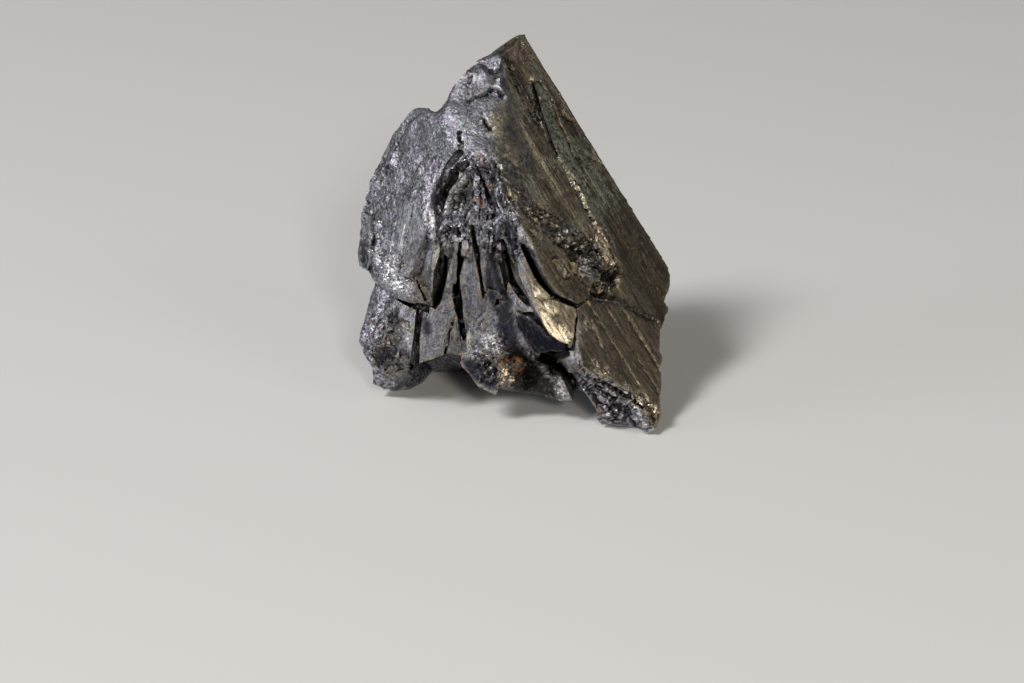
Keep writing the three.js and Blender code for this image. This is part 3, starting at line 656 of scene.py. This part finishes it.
strips, strip_rim = grains(place * STRIP_SHAPE + 0.35 * wander[:, None], STRIP_SIZE, 25)
root_relief = STRIP_HEIGHT * strips + 0.08 * medium + striae(along_root, 17)
root_relief -= STRIP_GAP * ramp(-strip_rim, -0.12, 0)
root_relief -= ROOT_HOLLOW_DEPTH * patch(ROOT_HOLLOW, 0.5)
HOLES = [
    (-7.2, 10.6), (-5.5, 11.7), (-4.1, 10.6), (-1.6, 10.1), (-3.1, 8.4), (-0.9, 4.4), (-2.0, 6.6),
]
HOLE_DEPTH = 0.9
for right, up in HOLES:
    root_relief -= HOLE_DEPTH * crack([(right, up + 0.5, 0.45), (right + 0.1, up - 0.3, 0.4)])

FOOT = [
    (6.2, -0.8), (8.4, -2.8), (10.7, -4.0), (14.2, -6.1), (16.2, -7.8), (14.6, -9.6), (10.6, -8.6),
    (7.2, -5.6),
]
LOW_CRUMB = [(-4.4, -0.8), (-1.2, 1.0), (0.2, -1.4), (-0.8, -4.0), (-3.4, -4.6)]
LEFT_FOOT = [
    (-15.6, 3.6), (-12.0, 3.4), (-10.6, 1.0), (-11.4, -3.0), (-13.4, -6.0), (-15.6, -4.0),
    (-16.4, -0.6),
]
DARK_MIDDLE = [
    (-1.1, -1.1), (-0.2, -0.1), (1.1, -0.1), (2.4, -1.4), (3.9, -1.6), (5.2, -2.2), (6.3, -3.9),
    (5.4, -4.6), (5.8, -6.5), (3.9, -6.1), (1.7, -5.9), (-0.4, -5.2), (-1.0, -3.3),
]
crumbly = np.maximum.reduce([
    0.5 * in_root, 0.6 * patch(FOOT, 0.3), patch(LOW_CRUMB, 0.6), 0.45 * patch(LEFT_FOOT, 0.8),
    0.7 * patch(DARK_MIDDLE, 0.6),
])
crumbs += crumbly * (0.07 * coarse + 0.06 * medium)

# ---- The finished surface --------------------------------------------------------------------
# The forms above are one body, so their relief is added up and moved into the one skin. The back
# is a second side of the prism, and smooth faces keep to fine lines where broken ones crumble.

BACK_OUT = unit(0.333, 0.942, -0.04)
BACK_STRIAE = 1.4
on_back = ramp(normal @ BACK_OUT, 0.9, 0.97) * ramp(place @ BACK_OUT, 10.4, 10.9)
lined = on_roof * (1 - in_belt) * (1 - 0.75 * in_band) + in_fan + on_panel + on_back
striated = np.clip(lined, 0, 1)
striated = np.maximum(striated * (1 - crumbly), on_slab)

SLAB_STRIAE = 0.5
PANEL_STRIAE = 1.8
RIDGE_HEIGHT = 0.45
BELT_COARSE, BELT_MEDIUM, BELT_PITS = 0.4, 0.24, 0.35
relief = on_roof * roof_relief + in_fan * (1 - crumbly) * fan_relief * (1 - on_roof)
relief += (SLAB_STRIAE * on_slab * striae(along_roof, 15)
           + BACK_STRIAE * on_back * striae(along_roof, 12))
relief += PANEL_STRIAE * on_panel * striae(along_lobe, 9)

# Ore that isn't striated is rough with grains, more where it crumbled and less on the crown.
relief += (1 - striated) * (1 - in_root) * (0.7 + 0.9 * crumbly - 0.35 * in_crown) * crumbs
relief += in_root * root_relief
belt_pits = ramp(swells(place, 1.1, 60), 0.2, 0.5)
relief += in_belt * (BELT_COARSE * coarse + BELT_MEDIUM * medium - BELT_PITS * belt_pits)
relief += 0.3 * striated * (0.06 * fine + 0.06 * layered(place, 0.6, 2, 70))
relief += RIDGE_HEIGHT * ridge + 0.15 * ridge * medium

# Cracks in the crown, and one in the right foot.
CRACKS = [
    [(-4.6, 26.0, 0.12), (-3.5, 26.5, 0.25), (-2.6, 26.9, 0.3), (-2.1, 27.1, 0.2)],
    [(-2.6, 27.3, 0.15), (-1.5, 27.2, 0.3), (-1.0, 26.4, 0.15)],
    [(-3.1, 24.1, 0.15), (-2.7, 23.4, 0.25), (-2.2, 22.8, 0.12)],
    [(-5.6, 22.8, 0.12), (-5.8, 22.0, 0.25), (-5.4, 21.1, 0.12)],
    [(-2.3, 29.2, 0.3), (-1.6, 28.9, 0.45)],
    [(8.9, -4.3, 0.3), (12.0, -5.6, 0.45), (14.1, -6.6, 0.3)],
]
CRACK_DEPTH = 0.8
for path in CRACKS:
    relief -= CRACK_DEPTH * crack(path)

# The relief fades out towards the flat feet and inside the gaps.
DEEPEST = -1.2
PROUDEST = 0.3
relief = np.clip(relief, DEEPEST, PROUDEST) * ramp(place[:, 2], 0.1, 1.2)
relief *= 1 - 0.6 * ramp(cut_depth, 0.3, 1)
place += normal * relief[:, None]
LIP_ROUNDING = 6
for _ in range(LIP_ROUNDING):
    place += STEP * ramp(lip, 0, 0.4)[:, None] * (beside(place) - place)

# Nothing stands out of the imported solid's box.
CLEARANCE = 0.002
box_low, box_high = (np.array(corner) / MM for corner in cad_box)
place = np.clip(place, box_low + CLEARANCE, box_high - CLEARANCE)

# How far each point stands out from those beside it: above 0 on an edge, below 0 in a crease.
proud = np.sum((place - beside(place)) * laid(place), axis=1)

# Crumbled faces stay flat, and catch the light one by one. The others are smooth between edges.
SHARP_ANGLE = math.radians(38)
FLAT_FROM = 0.4
loose = np.maximum.reduce([crumbly - 0.5 * in_root, in_belt, 0.5 * ridge])
group_mesh.shade_smooth()
group_mesh.set_sharp_from_angle(angle=SHARP_ANGLE)
first_corner = np.zeros(len(group_mesh.polygons), np.int32)
group_mesh.polygons.foreach_get("loop_start", first_corner)
corner_vertex = np.zeros(len(group_mesh.loops), np.int32)
group_mesh.loops.foreach_get("vertex_index", corner_vertex)
group_mesh.polygons.foreach_set("use_smooth", loose[corner_vertex[first_corner]] < FLAT_FROM)

# ---- Stains, painted shade and painted glints ------------------------------------------------
# The roof has tarnished bronze and the slab under its lip shines like brass. Shade is painted
# dark into deep gaps, creases and hollows, glints and edge highlights are painted pale, some prisms
# are indigo, and rust has gathered in small hollows.

INDIGO = [
    (0.4, 2.5), (1.2, 3.3), (2.5, 3.2), (3.1, 2.3), (3.8, 1.0), (5.2, -0.1), (6.9, -0.7),
    (6.0, -1.1), (4.0, -1.5), (2.3, -1.2), (1.3, 0.2), (0.5, 1.5),
]
RUST = [
    [(-1.5, -1.8), (-0.8, -0.9), (-0.2, -2.5), (0.0, -4.4), (-1.3, -4.6)],
    [(0.1, -1.8), (0.9, -2.0), (1.3, -2.9), (0.9, -3.5), (0.2, -2.9)],
    [(8.0, -6.0), (8.6, -5.9), (9.8, -7.6), (9.4, -7.9)],
    [(-4.5, 20.4), (-3.7, 20.5), (-3.2, 19.2), (-4.1, 19.1)],
    [(-3.9, 15.7), (-3.2, 15.5), (-2.9, 14.1), (-3.6, 14.2)],
    [(-3.1, 17.2), (-2.5, 17.0), (-2.3, 16.1), (-2.8, 16.3)],
    [(3.1, 3.5), (3.8, 3.2), (5.7, 0.4), (5.2, 0.0), (4.1, 1.5)],
    [(0.9, 30.2), (1.8, 29.3), (1.9, 28.1), (1.5, 28.2)],
]
BRASS = [
    [
        (2.1, 5.7), (3.0, 6.0), (3.9, 5.1), (4.4, 4.0), (5.2, 3.3), (4.8, 2.8), (3.8, 3.2),
        (3.0, 3.8), (2.4, 4.4),
    ],
    [(3.1, 3.3), (3.8, 3.1), (4.8, 1.2), (5.4, 0.1), (4.4, 0.5), (3.7, 1.5)],
    [(5.0, 3.9), (5.8, 3.8), (6.4, 3.2), (6.0, 2.3), (5.5, 2.9)],
    [(5.0, 1.8), (5.8, 1.5), (6.4, 0.4), (5.8, -0.2), (5.2, 0.6)],
]
GOLD = [
    [(7.3, 3.0), (8.2, 2.8), (8.9, 1.5), (8.0, 1.1), (7.2, 2.0)],
    [(8.4, -2.1), (9.7, -2.2), (10.9, -3.3), (11.0, -4.3), (9.7, -4.0), (8.7, -3.1)],
    [(12.0, -4.5), (13.8, -5.5), (16.1, -7.6), (15.4, -8.0), (13.4, -6.5)],
    [(9.0, 12.4), (9.4, 12.2), (10.1, 9.9), (11.2, 8.1), (10.8, 8.0), (9.7, 9.3), (9.0, 11.0)],
    [(-1.3, -2.9), (0.0, -3.0), (0.0, -4.8), (-1.4, -4.8)],
]
PINK = [(-0.9, 31.5), (0.0, 31.9), (1.5, 32.2), (2.1, 30.9), (1.7, 29.8), (0.8, 30.2), (-0.3, 30.9)]
DARK_BAND = [
    (-1.5, 31.3), (-0.8, 31.5), (0.8, 28.8), (2.5, 25.5), (3.2, 23.4), (2.8, 23.1), (1.3, 25.8),
    (-0.4, 28.5),
]
# Dark patches: partly dark ore, and partly painted shade, such as the one above and left of the
# indigo prism.
DARK_AND_SHADED_PATCHES = [
    [(-16.7, 11.0), (-15.3, 10.2), (-14.5, 8.2), (-13.8, 6.8), (-15.1, 7.1), (-16.4, 8.6)],
    [(-13.5, 3.0), (-12.3, 3.2), (-11.9, 1.9), (-12.7, 1.4), (-13.5, 1.8)],
    [(-15.8, -0.6), (-14.3, -0.2), (-12.4, -0.9), (-12.7, -2.6), (-14.7, -2.4)],
    [(-9.8, 2.3), (-9.1, 2.5), (-8.7, 0.8), (-9.5, 0.4)],
    [(-1.1, 12.8), (-0.1, 13.0), (0.6, 11.0), (0.8, 9.1), (-0.1, 8.9), (-0.9, 10.6)],
    [(-2.6, 16.7), (-1.5, 16.6), (-0.9, 14.4), (-1.6, 13.8), (-2.4, 15.0)],
    [(-3.8, 16.7), (-3.0, 16.1), (-2.7, 13.6), (-3.5, 13.8)],
    [(-3.0, 10.4), (-1.9, 10.1), (-1.3, 7.2), (-1.6, 4.5), (-2.6, 5.6)],
    [
        (-5.5, -2.0), (-4.5, -1.7), (-2.6, -2.7), (-1.0, -2.9), (-1.1, -5.6), (-2.6, -4.9),
        (-4.5, -3.9),
    ],
    [(-3.1, 7.0), (-1.3, 7.5), (-0.4, 5.6), (0.0, 4.3), (-0.4, 2.5), (-1.6, 2.5), (-2.7, 4.5)],
    [(-1.4, 3.9), (0.2, 2.9), (0.9, 0.6), (0.6, -0.8), (-1.0, -0.4), (-1.8, 1.6)],
    [(6.4, -2.4), (8.4, -3.6), (11.2, -6.0), (12.8, -8.0), (11.2, -9.2), (8.6, -7.2), (6.8, -4.8)],
    [(5.2, -2.2), (6.4, -3.5), (8.0, -5.9), (9.9, -9.1), (8.6, -7.8), (6.8, -5.5), (5.3, -3.3)],
]
# Painted glints: in these patches bright specks are painted into the colour.
GLINT_PATCHES = [
    [(-13.7, 9.0), (-12.3, 9.2), (-10.9, 7.9), (-10.6, 5.6), (-11.9, 5.1), (-13.2, 6.3)],
    [(-11.9, 1.4), (-10.8, 1.2), (-10.6, -0.9), (-11.7, -1.1)],
    [(4.8, -4.0), (5.8, -4.4), (6.4, -6.3), (5.4, -6.5), (4.6, -5.5)],
    [(1.6, 3.6), (2.6, 3.5), (2.6, 2.5), (1.7, 2.5)],
    [(-3.5, 0.7), (-1.5, 0.4), (-1.3, -1.5), (-3.0, -1.1)],
    [(-8.9, 14.7), (-8.0, 14.4), (-7.8, 11.0), (-8.5, 11.4)],
    [
        (7.0, 3.6), (7.3, 2.8), (7.5, 0.6), (7.2, -1.7), (6.2, -1.8), (6.2, -1.0), (6.9, -0.5),
        (7.0, 1.2),
    ],
    [(-1.0, 14.5), (0.6, 14.5), (0.9, 13.2), (-0.8, 13.4)],
]
LIT_EDGE = [(0.3, 2.5, 0.15), (0.6, 0.6, 0.2), (2.3, -1.7, 0.2), (3.6, -3.4, 0.2), (5.0, -5.1, 0.2)]
LOBE_TIP = [(-10.4, 7.6), (-9.0, 7.0), (-8.8, 4.6), (-9.6, 4.2), (-10.6, 5.4)]
flecks = ramp(swells(place, 0.45, 80), 0.1, 0.4)
mottle = ramp(swells(place, 1.5, 81) + 0.6 * swells(place, 0.6, 82), -0.3, 0.3)


def patches(outlines, soft=0.25):
    """The strongest of several patches at each point."""
    return np.maximum.reduce([patch(outline, soft) for outline in outlines])


def stain(name, share):
    """Keeps a share for each point in the mesh, for the finish to read."""
    layer = group_mesh.attributes.new(name, "FLOAT", "POINT")
    layer.data.foreach_set("value", np.asarray(np.clip(share, 0, 1), np.float32))


# The finish is laid along each form's own growth.
grown = np.where((on_panel > 0.5)[:, None], along_lobe, along_roof)
grown = np.where((in_fan > 0.5)[:, None], along_fan, grown)
grown = np.where((in_root > 0.5)[:, None], along_root, grown)
growth_layer = group_mesh.attributes.new("growth", "FLOAT_VECTOR", "POINT")
growth_layer.data.foreach_set("vector", np.asarray(grown, np.float32).ravel())

# A share for each stain, from 0 to 1: where it lies, times how strong it is there. Light stains
# stay out of the cut gaps.
shut = ramp(-cut_depth, -0.6, -0.3)
streaks = ramp(swells(along_roof * (0.5, 1, 1), 0.6, 90) + 0.4 * wander, -0.6, 0.0)
lit_edge = crack(LIT_EDGE)
# Painted glints: the patches, half of the lobe's rim, and a thin lit edge along the indigo prism.
painted_glints = np.maximum.reduce([patches(GLINT_PATCHES, 0.4), 0.5 * ridge, 0.5 * ramp(lit_edge, 0.2, 0.8)])
brown_edge = 0.8 * in_fan * ramp(proud, 0.015, 0.05) + 0.4 * patch(ROOT_HOLLOW, 0.5)
brown_edge += 0.6 * patch(LOBE_TIP, 0.4)
rusted = patches(RUST, 0.3)
stain("striated", striated)
bronzed = [on_roof * (1 - 0.6 * in_belt * mottle), in_crust * (0.5 + 0.5 * mottle)]
stain("bronze", np.maximum.reduce([*bronzed, on_slab, brown_edge]))
# Painted shade: the roof is painted darker towards its right and its lower end, the crown a little
# darker, the root and the right foot darker in mottled patches, and the root's hollow darker still.
painted_shade_share = on_roof * (0.95 * ramp(across, -10, -4) * ramp(down, 3, 9) + 0.3 * ramp(down, 6, 12))
painted_shade_share = np.maximum(painted_shade_share, 0.2 * in_crown)
painted_shade_share = np.maximum(painted_shade_share, (0.8 * in_root + 0.9 * patch(FOOT, 0.3)) * (0.6 + 0.6 * mottle))
stain("painted_shade", np.maximum(painted_shade_share, patch(ROOT_HOLLOW, 0.5)))
stain("brass", on_slab * patches(BRASS, 0.2) * (0.4 + 0.6 * streaks) * shut)
stain("gold", np.maximum(patches(GOLD, 0.4), 0.7 * rod) * shut)
stain("rust", np.maximum(rusted, 0.2 * in_crust * mottle) * shut)
dark_and_shaded = np.maximum(0.9 * patches(DARK_AND_SHADED_PATCHES, 0.25), 0.85 * patch(DARK_BAND, 0.2))
stain("indigo_and_shade", np.maximum(patch(INDIGO, 0.12), dark_and_shaded))
# Painted shade: the cut gaps, deep cracks and hollows, creases, the open seam and the upper plate's
# lip along the break are painted near black. The dark middle between the feet is partly dark ore and
# partly painted shade, and the flecks in the crumbled belt are dark ore.
shade_and_dark_ore_shares = [patch(DARK_MIDDLE, 0.5) * (0.85 + 0.15 * mottle), 0.75 * in_belt * flecks]
shade_and_dark_ore_shares += [ramp(-relief, 0.35, 1.0), ramp(cut_depth, 0.5, 1.3), 0.75 * ramp(-proud, 0.015, 0.06)]
shade_and_dark_ore_shares += [0.95 * ramp(lip, 0.35, 0.8) * (0.5 + 0.5 * flecks), 0.8 * ramp(seam, 0.3, 0.7)]
stain("shade_and_dark_ore", np.maximum.reduce(shade_and_dark_ore_shares) * (1 - 0.9 * painted_glints * shut) * (1 - 0.8 * rusted * flecks))
mossy = 0.5 * on_roof * mottle * ramp(-down, -24, -18)
stain("green", np.maximum.reduce([in_band, lump, mossy, 0.7 * in_crust * mottle]))
stain("pink", np.maximum(patch(PINK, 0.15), lens))
stain("painted_glints", painted_glints)
stain("sparkle", 0.5 + 0.4 * loose + 0.3 * painted_glints - 0.35 * striated - 0.15 * in_crown)
stain("dull", 0.8 * in_crown * (1 - painted_glints))
# Painted highlight: edges that stand out are painted paler, less so on the crown, the belt, the roof,
# the fan and the root.
kept_dull = (1 - 0.5 * in_crown) * (1 - 0.5 * in_belt) * (1 - 0.4 * on_roof)
stain("edge_highlight", ramp(proud, 0.012, 0.05) * kept_dull * (1 - 0.8 * np.maximum(in_fan, in_root)))

# The finish is a dull, dark metal, and each stain has its own colour. Painted shade, painted glints
# and painted edge highlights have colours of their own as well.
STEEL = (0.29, 0.295, 0.33)
STEEL_DARK = (0.055, 0.055, 0.066)
STEEL_LIGHT = (0.48, 0.48, 0.52)
BRONZE = (0.30, 0.255, 0.19)
BRONZE_DARK = (0.042, 0.037, 0.029)
BRONZE_LIGHT = (0.60, 0.48, 0.31)
BRASS_COLOUR = (1.0, 0.87, 0.64)
RUST_COLOUR = (0.30, 0.11, 0.025)
INDIGO_AND_SHADE_COLOUR = (0.014, 0.014, 0.024)
INDIGO_AND_SHADE_LIGHT = (0.10, 0.105, 0.14)
SHADE_AND_DARK_ORE_COLOUR = (0.010, 0.009, 0.008)
GREEN_COLOUR = (0.42, 0.43, 0.35)
PINK_COLOUR = (0.42, 0.32, 0.27)
GLINT_COLOUR = (0.58, 0.58, 0.62)
GRAIN_TINT = 0.05
PAINTED_SHADE_STRENGTH = 0.7
EDGE_HIGHLIGHT_SHARE = 0.55
DULL_TONE = 0.55
GRAIN_SMOOTHEST = 0.26
GRAIN_ROUGHEST = 0.58
DULL_ROUGHNESS = 0.5
GILT_ROUGHNESS = 0.24
RUST_METALLIC = 0.6
GILT_SPARKLE = 0.08
FACETS_PER_METRE = 5200
LINE_BUMP = 0.07 * MM
GRAIN_BUMP = 0.09 * MM

andorite = bpy.data.materials.new("andorite")
andorite.use_nodes = True
nodes = andorite.node_tree.nodes
links = andorite.node_tree.links
metal = nodes["Principled BSDF"]


def add(kind, **settings):
    """Adds a node to the finish."""
    made = nodes.new(kind)
    for name, value in settings.items():
        setattr(made, name, value)
    return made


def feed(socket, value):
    """Sets a socket to a number or a colour, or links it to an output."""
    if isinstance(value, tuple):
        socket.default_value = (*value, 1)
    elif isinstance(value, (int, float)):
        socket.default_value = value
    else:
        links.new(value, socket)


def attribute(name, output="Fac"):
    return add("ShaderNodeAttribute", attribute_name=name).outputs[output]


def noise(vector, scale, detail=3.0, roughness=0.55):
    made = add("ShaderNodeTexNoise")
    feed(made.inputs["Vector"], vector)
    feed(made.inputs["Scale"], scale)
    feed(made.inputs["Detail"], detail)
    feed(made.inputs["Roughness"], roughness)
    return made.outputs["Fac"]


def between(value, low, high, out_low=0.0, out_high=1.0):
    """Goes smoothly from out_low to out_high as the value goes from low to high."""
    made = add("ShaderNodeMapRange", interpolation_type="SMOOTHSTEP")
    feed(made.inputs["Value"], value)
    feed(made.inputs["From Min"], low)
    feed(made.inputs["From Max"], high)
    feed(made.inputs["To Min"], out_low)
    feed(made.inputs["To Max"], out_high)
    return made.outputs["Result"]


# A Mix node's sockets: its share, its two numbers and its two colours.
SHARE, NUMBERS, COLOURS = 0, (2, 3), (6, 7)
NUMBER_OUT, COLOUR_OUT = 0, 2


def blend(share, first, second):
    """A colour between two others."""
    made = add("ShaderNodeMix", data_type="RGBA")
    feed(made.inputs[SHARE], share)
    feed(made.inputs[COLOURS[0]], first)
    feed(made.inputs[COLOURS[1]], second)
    return made.outputs[COLOUR_OUT]


def mixed(share, first, second):
    """A number between two others."""
    made = add("ShaderNodeMix", data_type="FLOAT")
    feed(made.inputs[SHARE], share)
    feed(made.inputs[NUMBERS[0]], first)
    feed(made.inputs[NUMBERS[1]], second)
    return made.outputs[NUMBER_OUT]


def times(first, second):
    made = add("ShaderNodeMath", operation="MULTIPLY")
    feed(made.inputs[0], first)
    feed(made.inputs[1], second)
    return made.outputs["Value"]


# Noise laid along the growth has its scale per millimetre, and noise on the place per metre.
spot = add("ShaderNodeTexCoord").outputs["Object"]
lay = attribute("growth", "Vector")
on_lines = attribute("striated")
lines = between(noise(lay, 3.2, 5, 0.7), 0.38, 0.62)
stripes = between(noise(lay, 1.1, 2, 0.5), 0.4, 0.6)
hairlines = noise(lay, 9.0, 3, 0.7)
cloud = between(noise(spot, 900, 6, 0.78), 0.33, 0.67)
speck = noise(spot, 2600, 3, 0.7)
grit = noise(spot, 1500, 6, 0.8)
facet = add("ShaderNodeTexVoronoi")
feed(facet.inputs["Vector"], spot)
feed(facet.inputs["Scale"], FACETS_PER_METRE)

# Lines where it is striated and clouds elsewhere share out the dark and light of each metal.
tone = mixed(between(on_lines, 0, 1, 0, 0.7), cloud, mixed(0.5, lines, stripes))
tone = mixed(times(attribute("dull"), 0.5), tone, DULL_TONE)
tone = mixed(between(on_lines, 0, 1, 0.5, 0.22), tone, between(facet.outputs["Color"], 0.25, 0.75))
steel = blend(tone, STEEL_DARK, STEEL)
# Painted glints: a few grains in the steel are painted pale, fewer where it is striated.
glint_specks = between(facet.outputs["Color"], 0.66, 0.74)
steel = blend(GRAIN_TINT, steel, facet.outputs["Color"])
steel = blend(times(glint_specks, between(on_lines, 0, 1, 0.8, 0.2)), steel, STEEL_LIGHT)
steel = blend(times(on_lines, between(hairlines, 0.58, 0.74)), steel, STEEL_LIGHT)
bronze = blend(tone, BRONZE_DARK, BRONZE)
bronze = blend(times(on_lines, between(hairlines, 0.55, 0.66)), bronze, BRONZE_LIGHT)
# Painted shade darkens the steel and the bronze.
painted_shade = times(attribute("painted_shade"), PAINTED_SHADE_STRENGTH)
steel = blend(painted_shade, steel, STEEL_DARK)
bronze = blend(painted_shade, bronze, BRONZE_DARK)
bronze = blend(times(attribute("green"), between(speck, 0.35, 0.55)), bronze, GREEN_COLOUR)
# The indigo prism and the dark patches, some of which are painted shade.
indigo_and_shade_colour = blend(between(hairlines, 0.55, 0.75), INDIGO_AND_SHADE_COLOUR, INDIGO_AND_SHADE_LIGHT)
colour = blend(attribute("bronze"), steel, bronze)
colour = blend(attribute("pink"), colour, blend(tone, BRONZE_DARK, PINK_COLOUR))
colour = blend(attribute("indigo_and_shade"), colour, indigo_and_shade_colour)
# Edges that stand out get a pale painted highlight.
edge_highlight_colour = blend(attribute("bronze"), GLINT_COLOUR, BRONZE_LIGHT)
colour = blend(times(attribute("edge_highlight"), EDGE_HIGHLIGHT_SHARE), colour, edge_highlight_colour)
# Painted shade, and dark ore, near black.
colour = blend(attribute("shade_and_dark_ore"), colour, SHADE_AND_DARK_ORE_COLOUR)
colour = blend(times(attribute("rust"), between(grit, 0.48, 0.56)), colour, RUST_COLOUR)
bright = between(noise(lay, 1.7, 5, 0.75), 0.41, 0.49)
gilt = times(attribute("brass"), bright)
gilt = mixed(times(attribute("gold"), between(grit, 0.5, 0.55)), gilt, 1.0)
colour = blend(gilt, colour, BRASS_COLOUR)
# Bright specks of painted glint.
colour = blend(times(attribute("painted_glints"), between(speck, 0.4, 0.6)), colour, GLINT_COLOUR)
feed(metal.inputs["Base Color"], colour)
feed(metal.inputs["Metallic"], between(attribute("rust"), 0, 1, 1.0, RUST_METALLIC))

# Grains a fifth of a millimetre wide each tilt the surface their own way, so they glitter.
lean = add("ShaderNodeVectorMath", operation="SUBTRACT")
feed(lean.inputs[0], facet.outputs["Color"])
lean.inputs[1].default_value = (0.5, 0.5, 0.5)
soften = add("ShaderNodeVectorMath", operation="SCALE")
feed(soften.inputs[0], lean.outputs[0])
feed(soften.inputs["Scale"], mixed(gilt, attribute("sparkle"), GILT_SPARKLE))
glitter = add("ShaderNodeVectorMath", operation="ADD")
straight = add("ShaderNodeVectorMath", operation="NORMALIZE")
line_bump = add("ShaderNodeBump")
line_bump.inputs["Distance"].default_value = LINE_BUMP
feed(line_bump.inputs["Height"], times(mixed(0.4, lines, hairlines), on_lines))
grain_bump = add("ShaderNodeBump")
grain_bump.inputs["Distance"].default_value = GRAIN_BUMP
feed(grain_bump.inputs["Height"], speck)
feed(grain_bump.inputs["Normal"], line_bump.outputs["Normal"])
feed(glitter.inputs[0], grain_bump.outputs["Normal"])
feed(glitter.inputs[1], soften.outputs[0])
feed(straight.inputs[0], glitter.outputs[0])
feed(metal.inputs["Normal"], straight.outputs[0])
matt = between(facet.outputs["Color"], 0.1, 0.8, GRAIN_SMOOTHEST, GRAIN_ROUGHEST)
matt = mixed(attribute("dull"), matt, DULL_ROUGHNESS)
feed(metal.inputs["Roughness"], mixed(gilt, matt, GILT_ROUGHNESS))
group_mesh.materials.clear()
group_mesh.materials.append(andorite)

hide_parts("andorite_cluster")
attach(andorite_group, "root")

# ---- The floor -------------------------------------------------------------------------------
# A wide sheet of pale grey card that the specimen stands on, laid flat under its feet. It belongs
# to the studio, and isn't part of the specimen.

FLOOR_HALF = 3.0
CARD_COLOUR = (0.62, 0.62, 0.61)
CARD_ROUGHNESS = 0.8

floor_mesh = bpy.data.meshes.new("floor")
corners = [(x * FLOOR_HALF, y * FLOOR_HALF, 0) for x, y in ((-1, -1), (1, -1), (1, 1), (-1, 1))]
floor_mesh.from_pydata(corners, [], [(0, 1, 2, 3)])
floor = bpy.data.objects.new("floor", floor_mesh)
bpy.context.scene.collection.objects.link(floor)
card = bpy.data.materials.new("pale_card")
card.use_nodes = True
card_surface = card.node_tree.nodes["Principled BSDF"]
feed(card_surface.inputs["Base Color"], CARD_COLOUR)
feed(card_surface.inputs["Roughness"], CARD_ROUGHNESS)
floor_mesh.materials.append(card)

# ---- Light and camera ------------------------------------------------------------------------
# A soft key from the upper left, a low fill from the left, and small warm lights in front and
# on the right. The camera looks down at 20 degrees through a long lens.

# Each lamp has a name, a place and a size in metres, a power in watts and a tint.
LAMPS = [
    ("key", (-0.62, -0.45, 0.86), 0.30, 11.0, (1.0, 0.98, 0.96)),
    ("fill", (-0.70, -0.25, 0.2), 0.3, 1.1, (0.9, 0.95, 1.0)),
    ("front", (0.13, -0.83, 0.40), 0.12, 3.4, (1.0, 0.93, 0.8)),
    ("right", (0.6, -0.5, 0.5), 0.25, 0.7, (1.0, 0.9, 0.75)),
]
ROOM_COLOUR = (0.32, 0.33, 0.35)
ROOM_STRENGTH = 0.35
LAMPS_AIM = (0, 0, 0.016)
FILM_WIDTH = 36
LENS_LENGTH = 140.77
CLIP = (0.01, 20)

studio = bpy.data.worlds.new("studio")
studio.use_nodes = True
room = studio.node_tree.nodes["Background"]
feed(room.inputs["Color"], ROOM_COLOUR)
feed(room.inputs["Strength"], ROOM_STRENGTH)
bpy.context.scene.world = studio


def softbox(name, at, size, watts, tint):
    """A square lamp that faces the specimen."""
    light = bpy.data.lights.new(name, "AREA")
    light.size = size
    light.energy = watts
    light.color = tint
    made = bpy.data.objects.new(name, light)
    made.location = at
    made.rotation_euler = (Vector(LAMPS_AIM) - Vector(at)).to_track_quat("-Z", "Y").to_euler()
    bpy.context.scene.collection.objects.link(made)


for lamp in LAMPS:
    softbox(*lamp)

long_lens = bpy.data.cameras.new("camera")
long_lens.sensor_width = FILM_WIDTH
long_lens.lens = LENS_LENGTH
long_lens.clip_start, long_lens.clip_end = CLIP
camera = bpy.data.objects.new("camera", long_lens)
camera.location = EYE * MM
camera.rotation_euler = Vector(-TOWARD_EYE).to_track_quat("-Z", "Y").to_euler()
bpy.context.scene.collection.objects.link(camera)
bpy.context.scene.camera = camera
bpy.context.scene.view_settings.view_transform = "Standard"
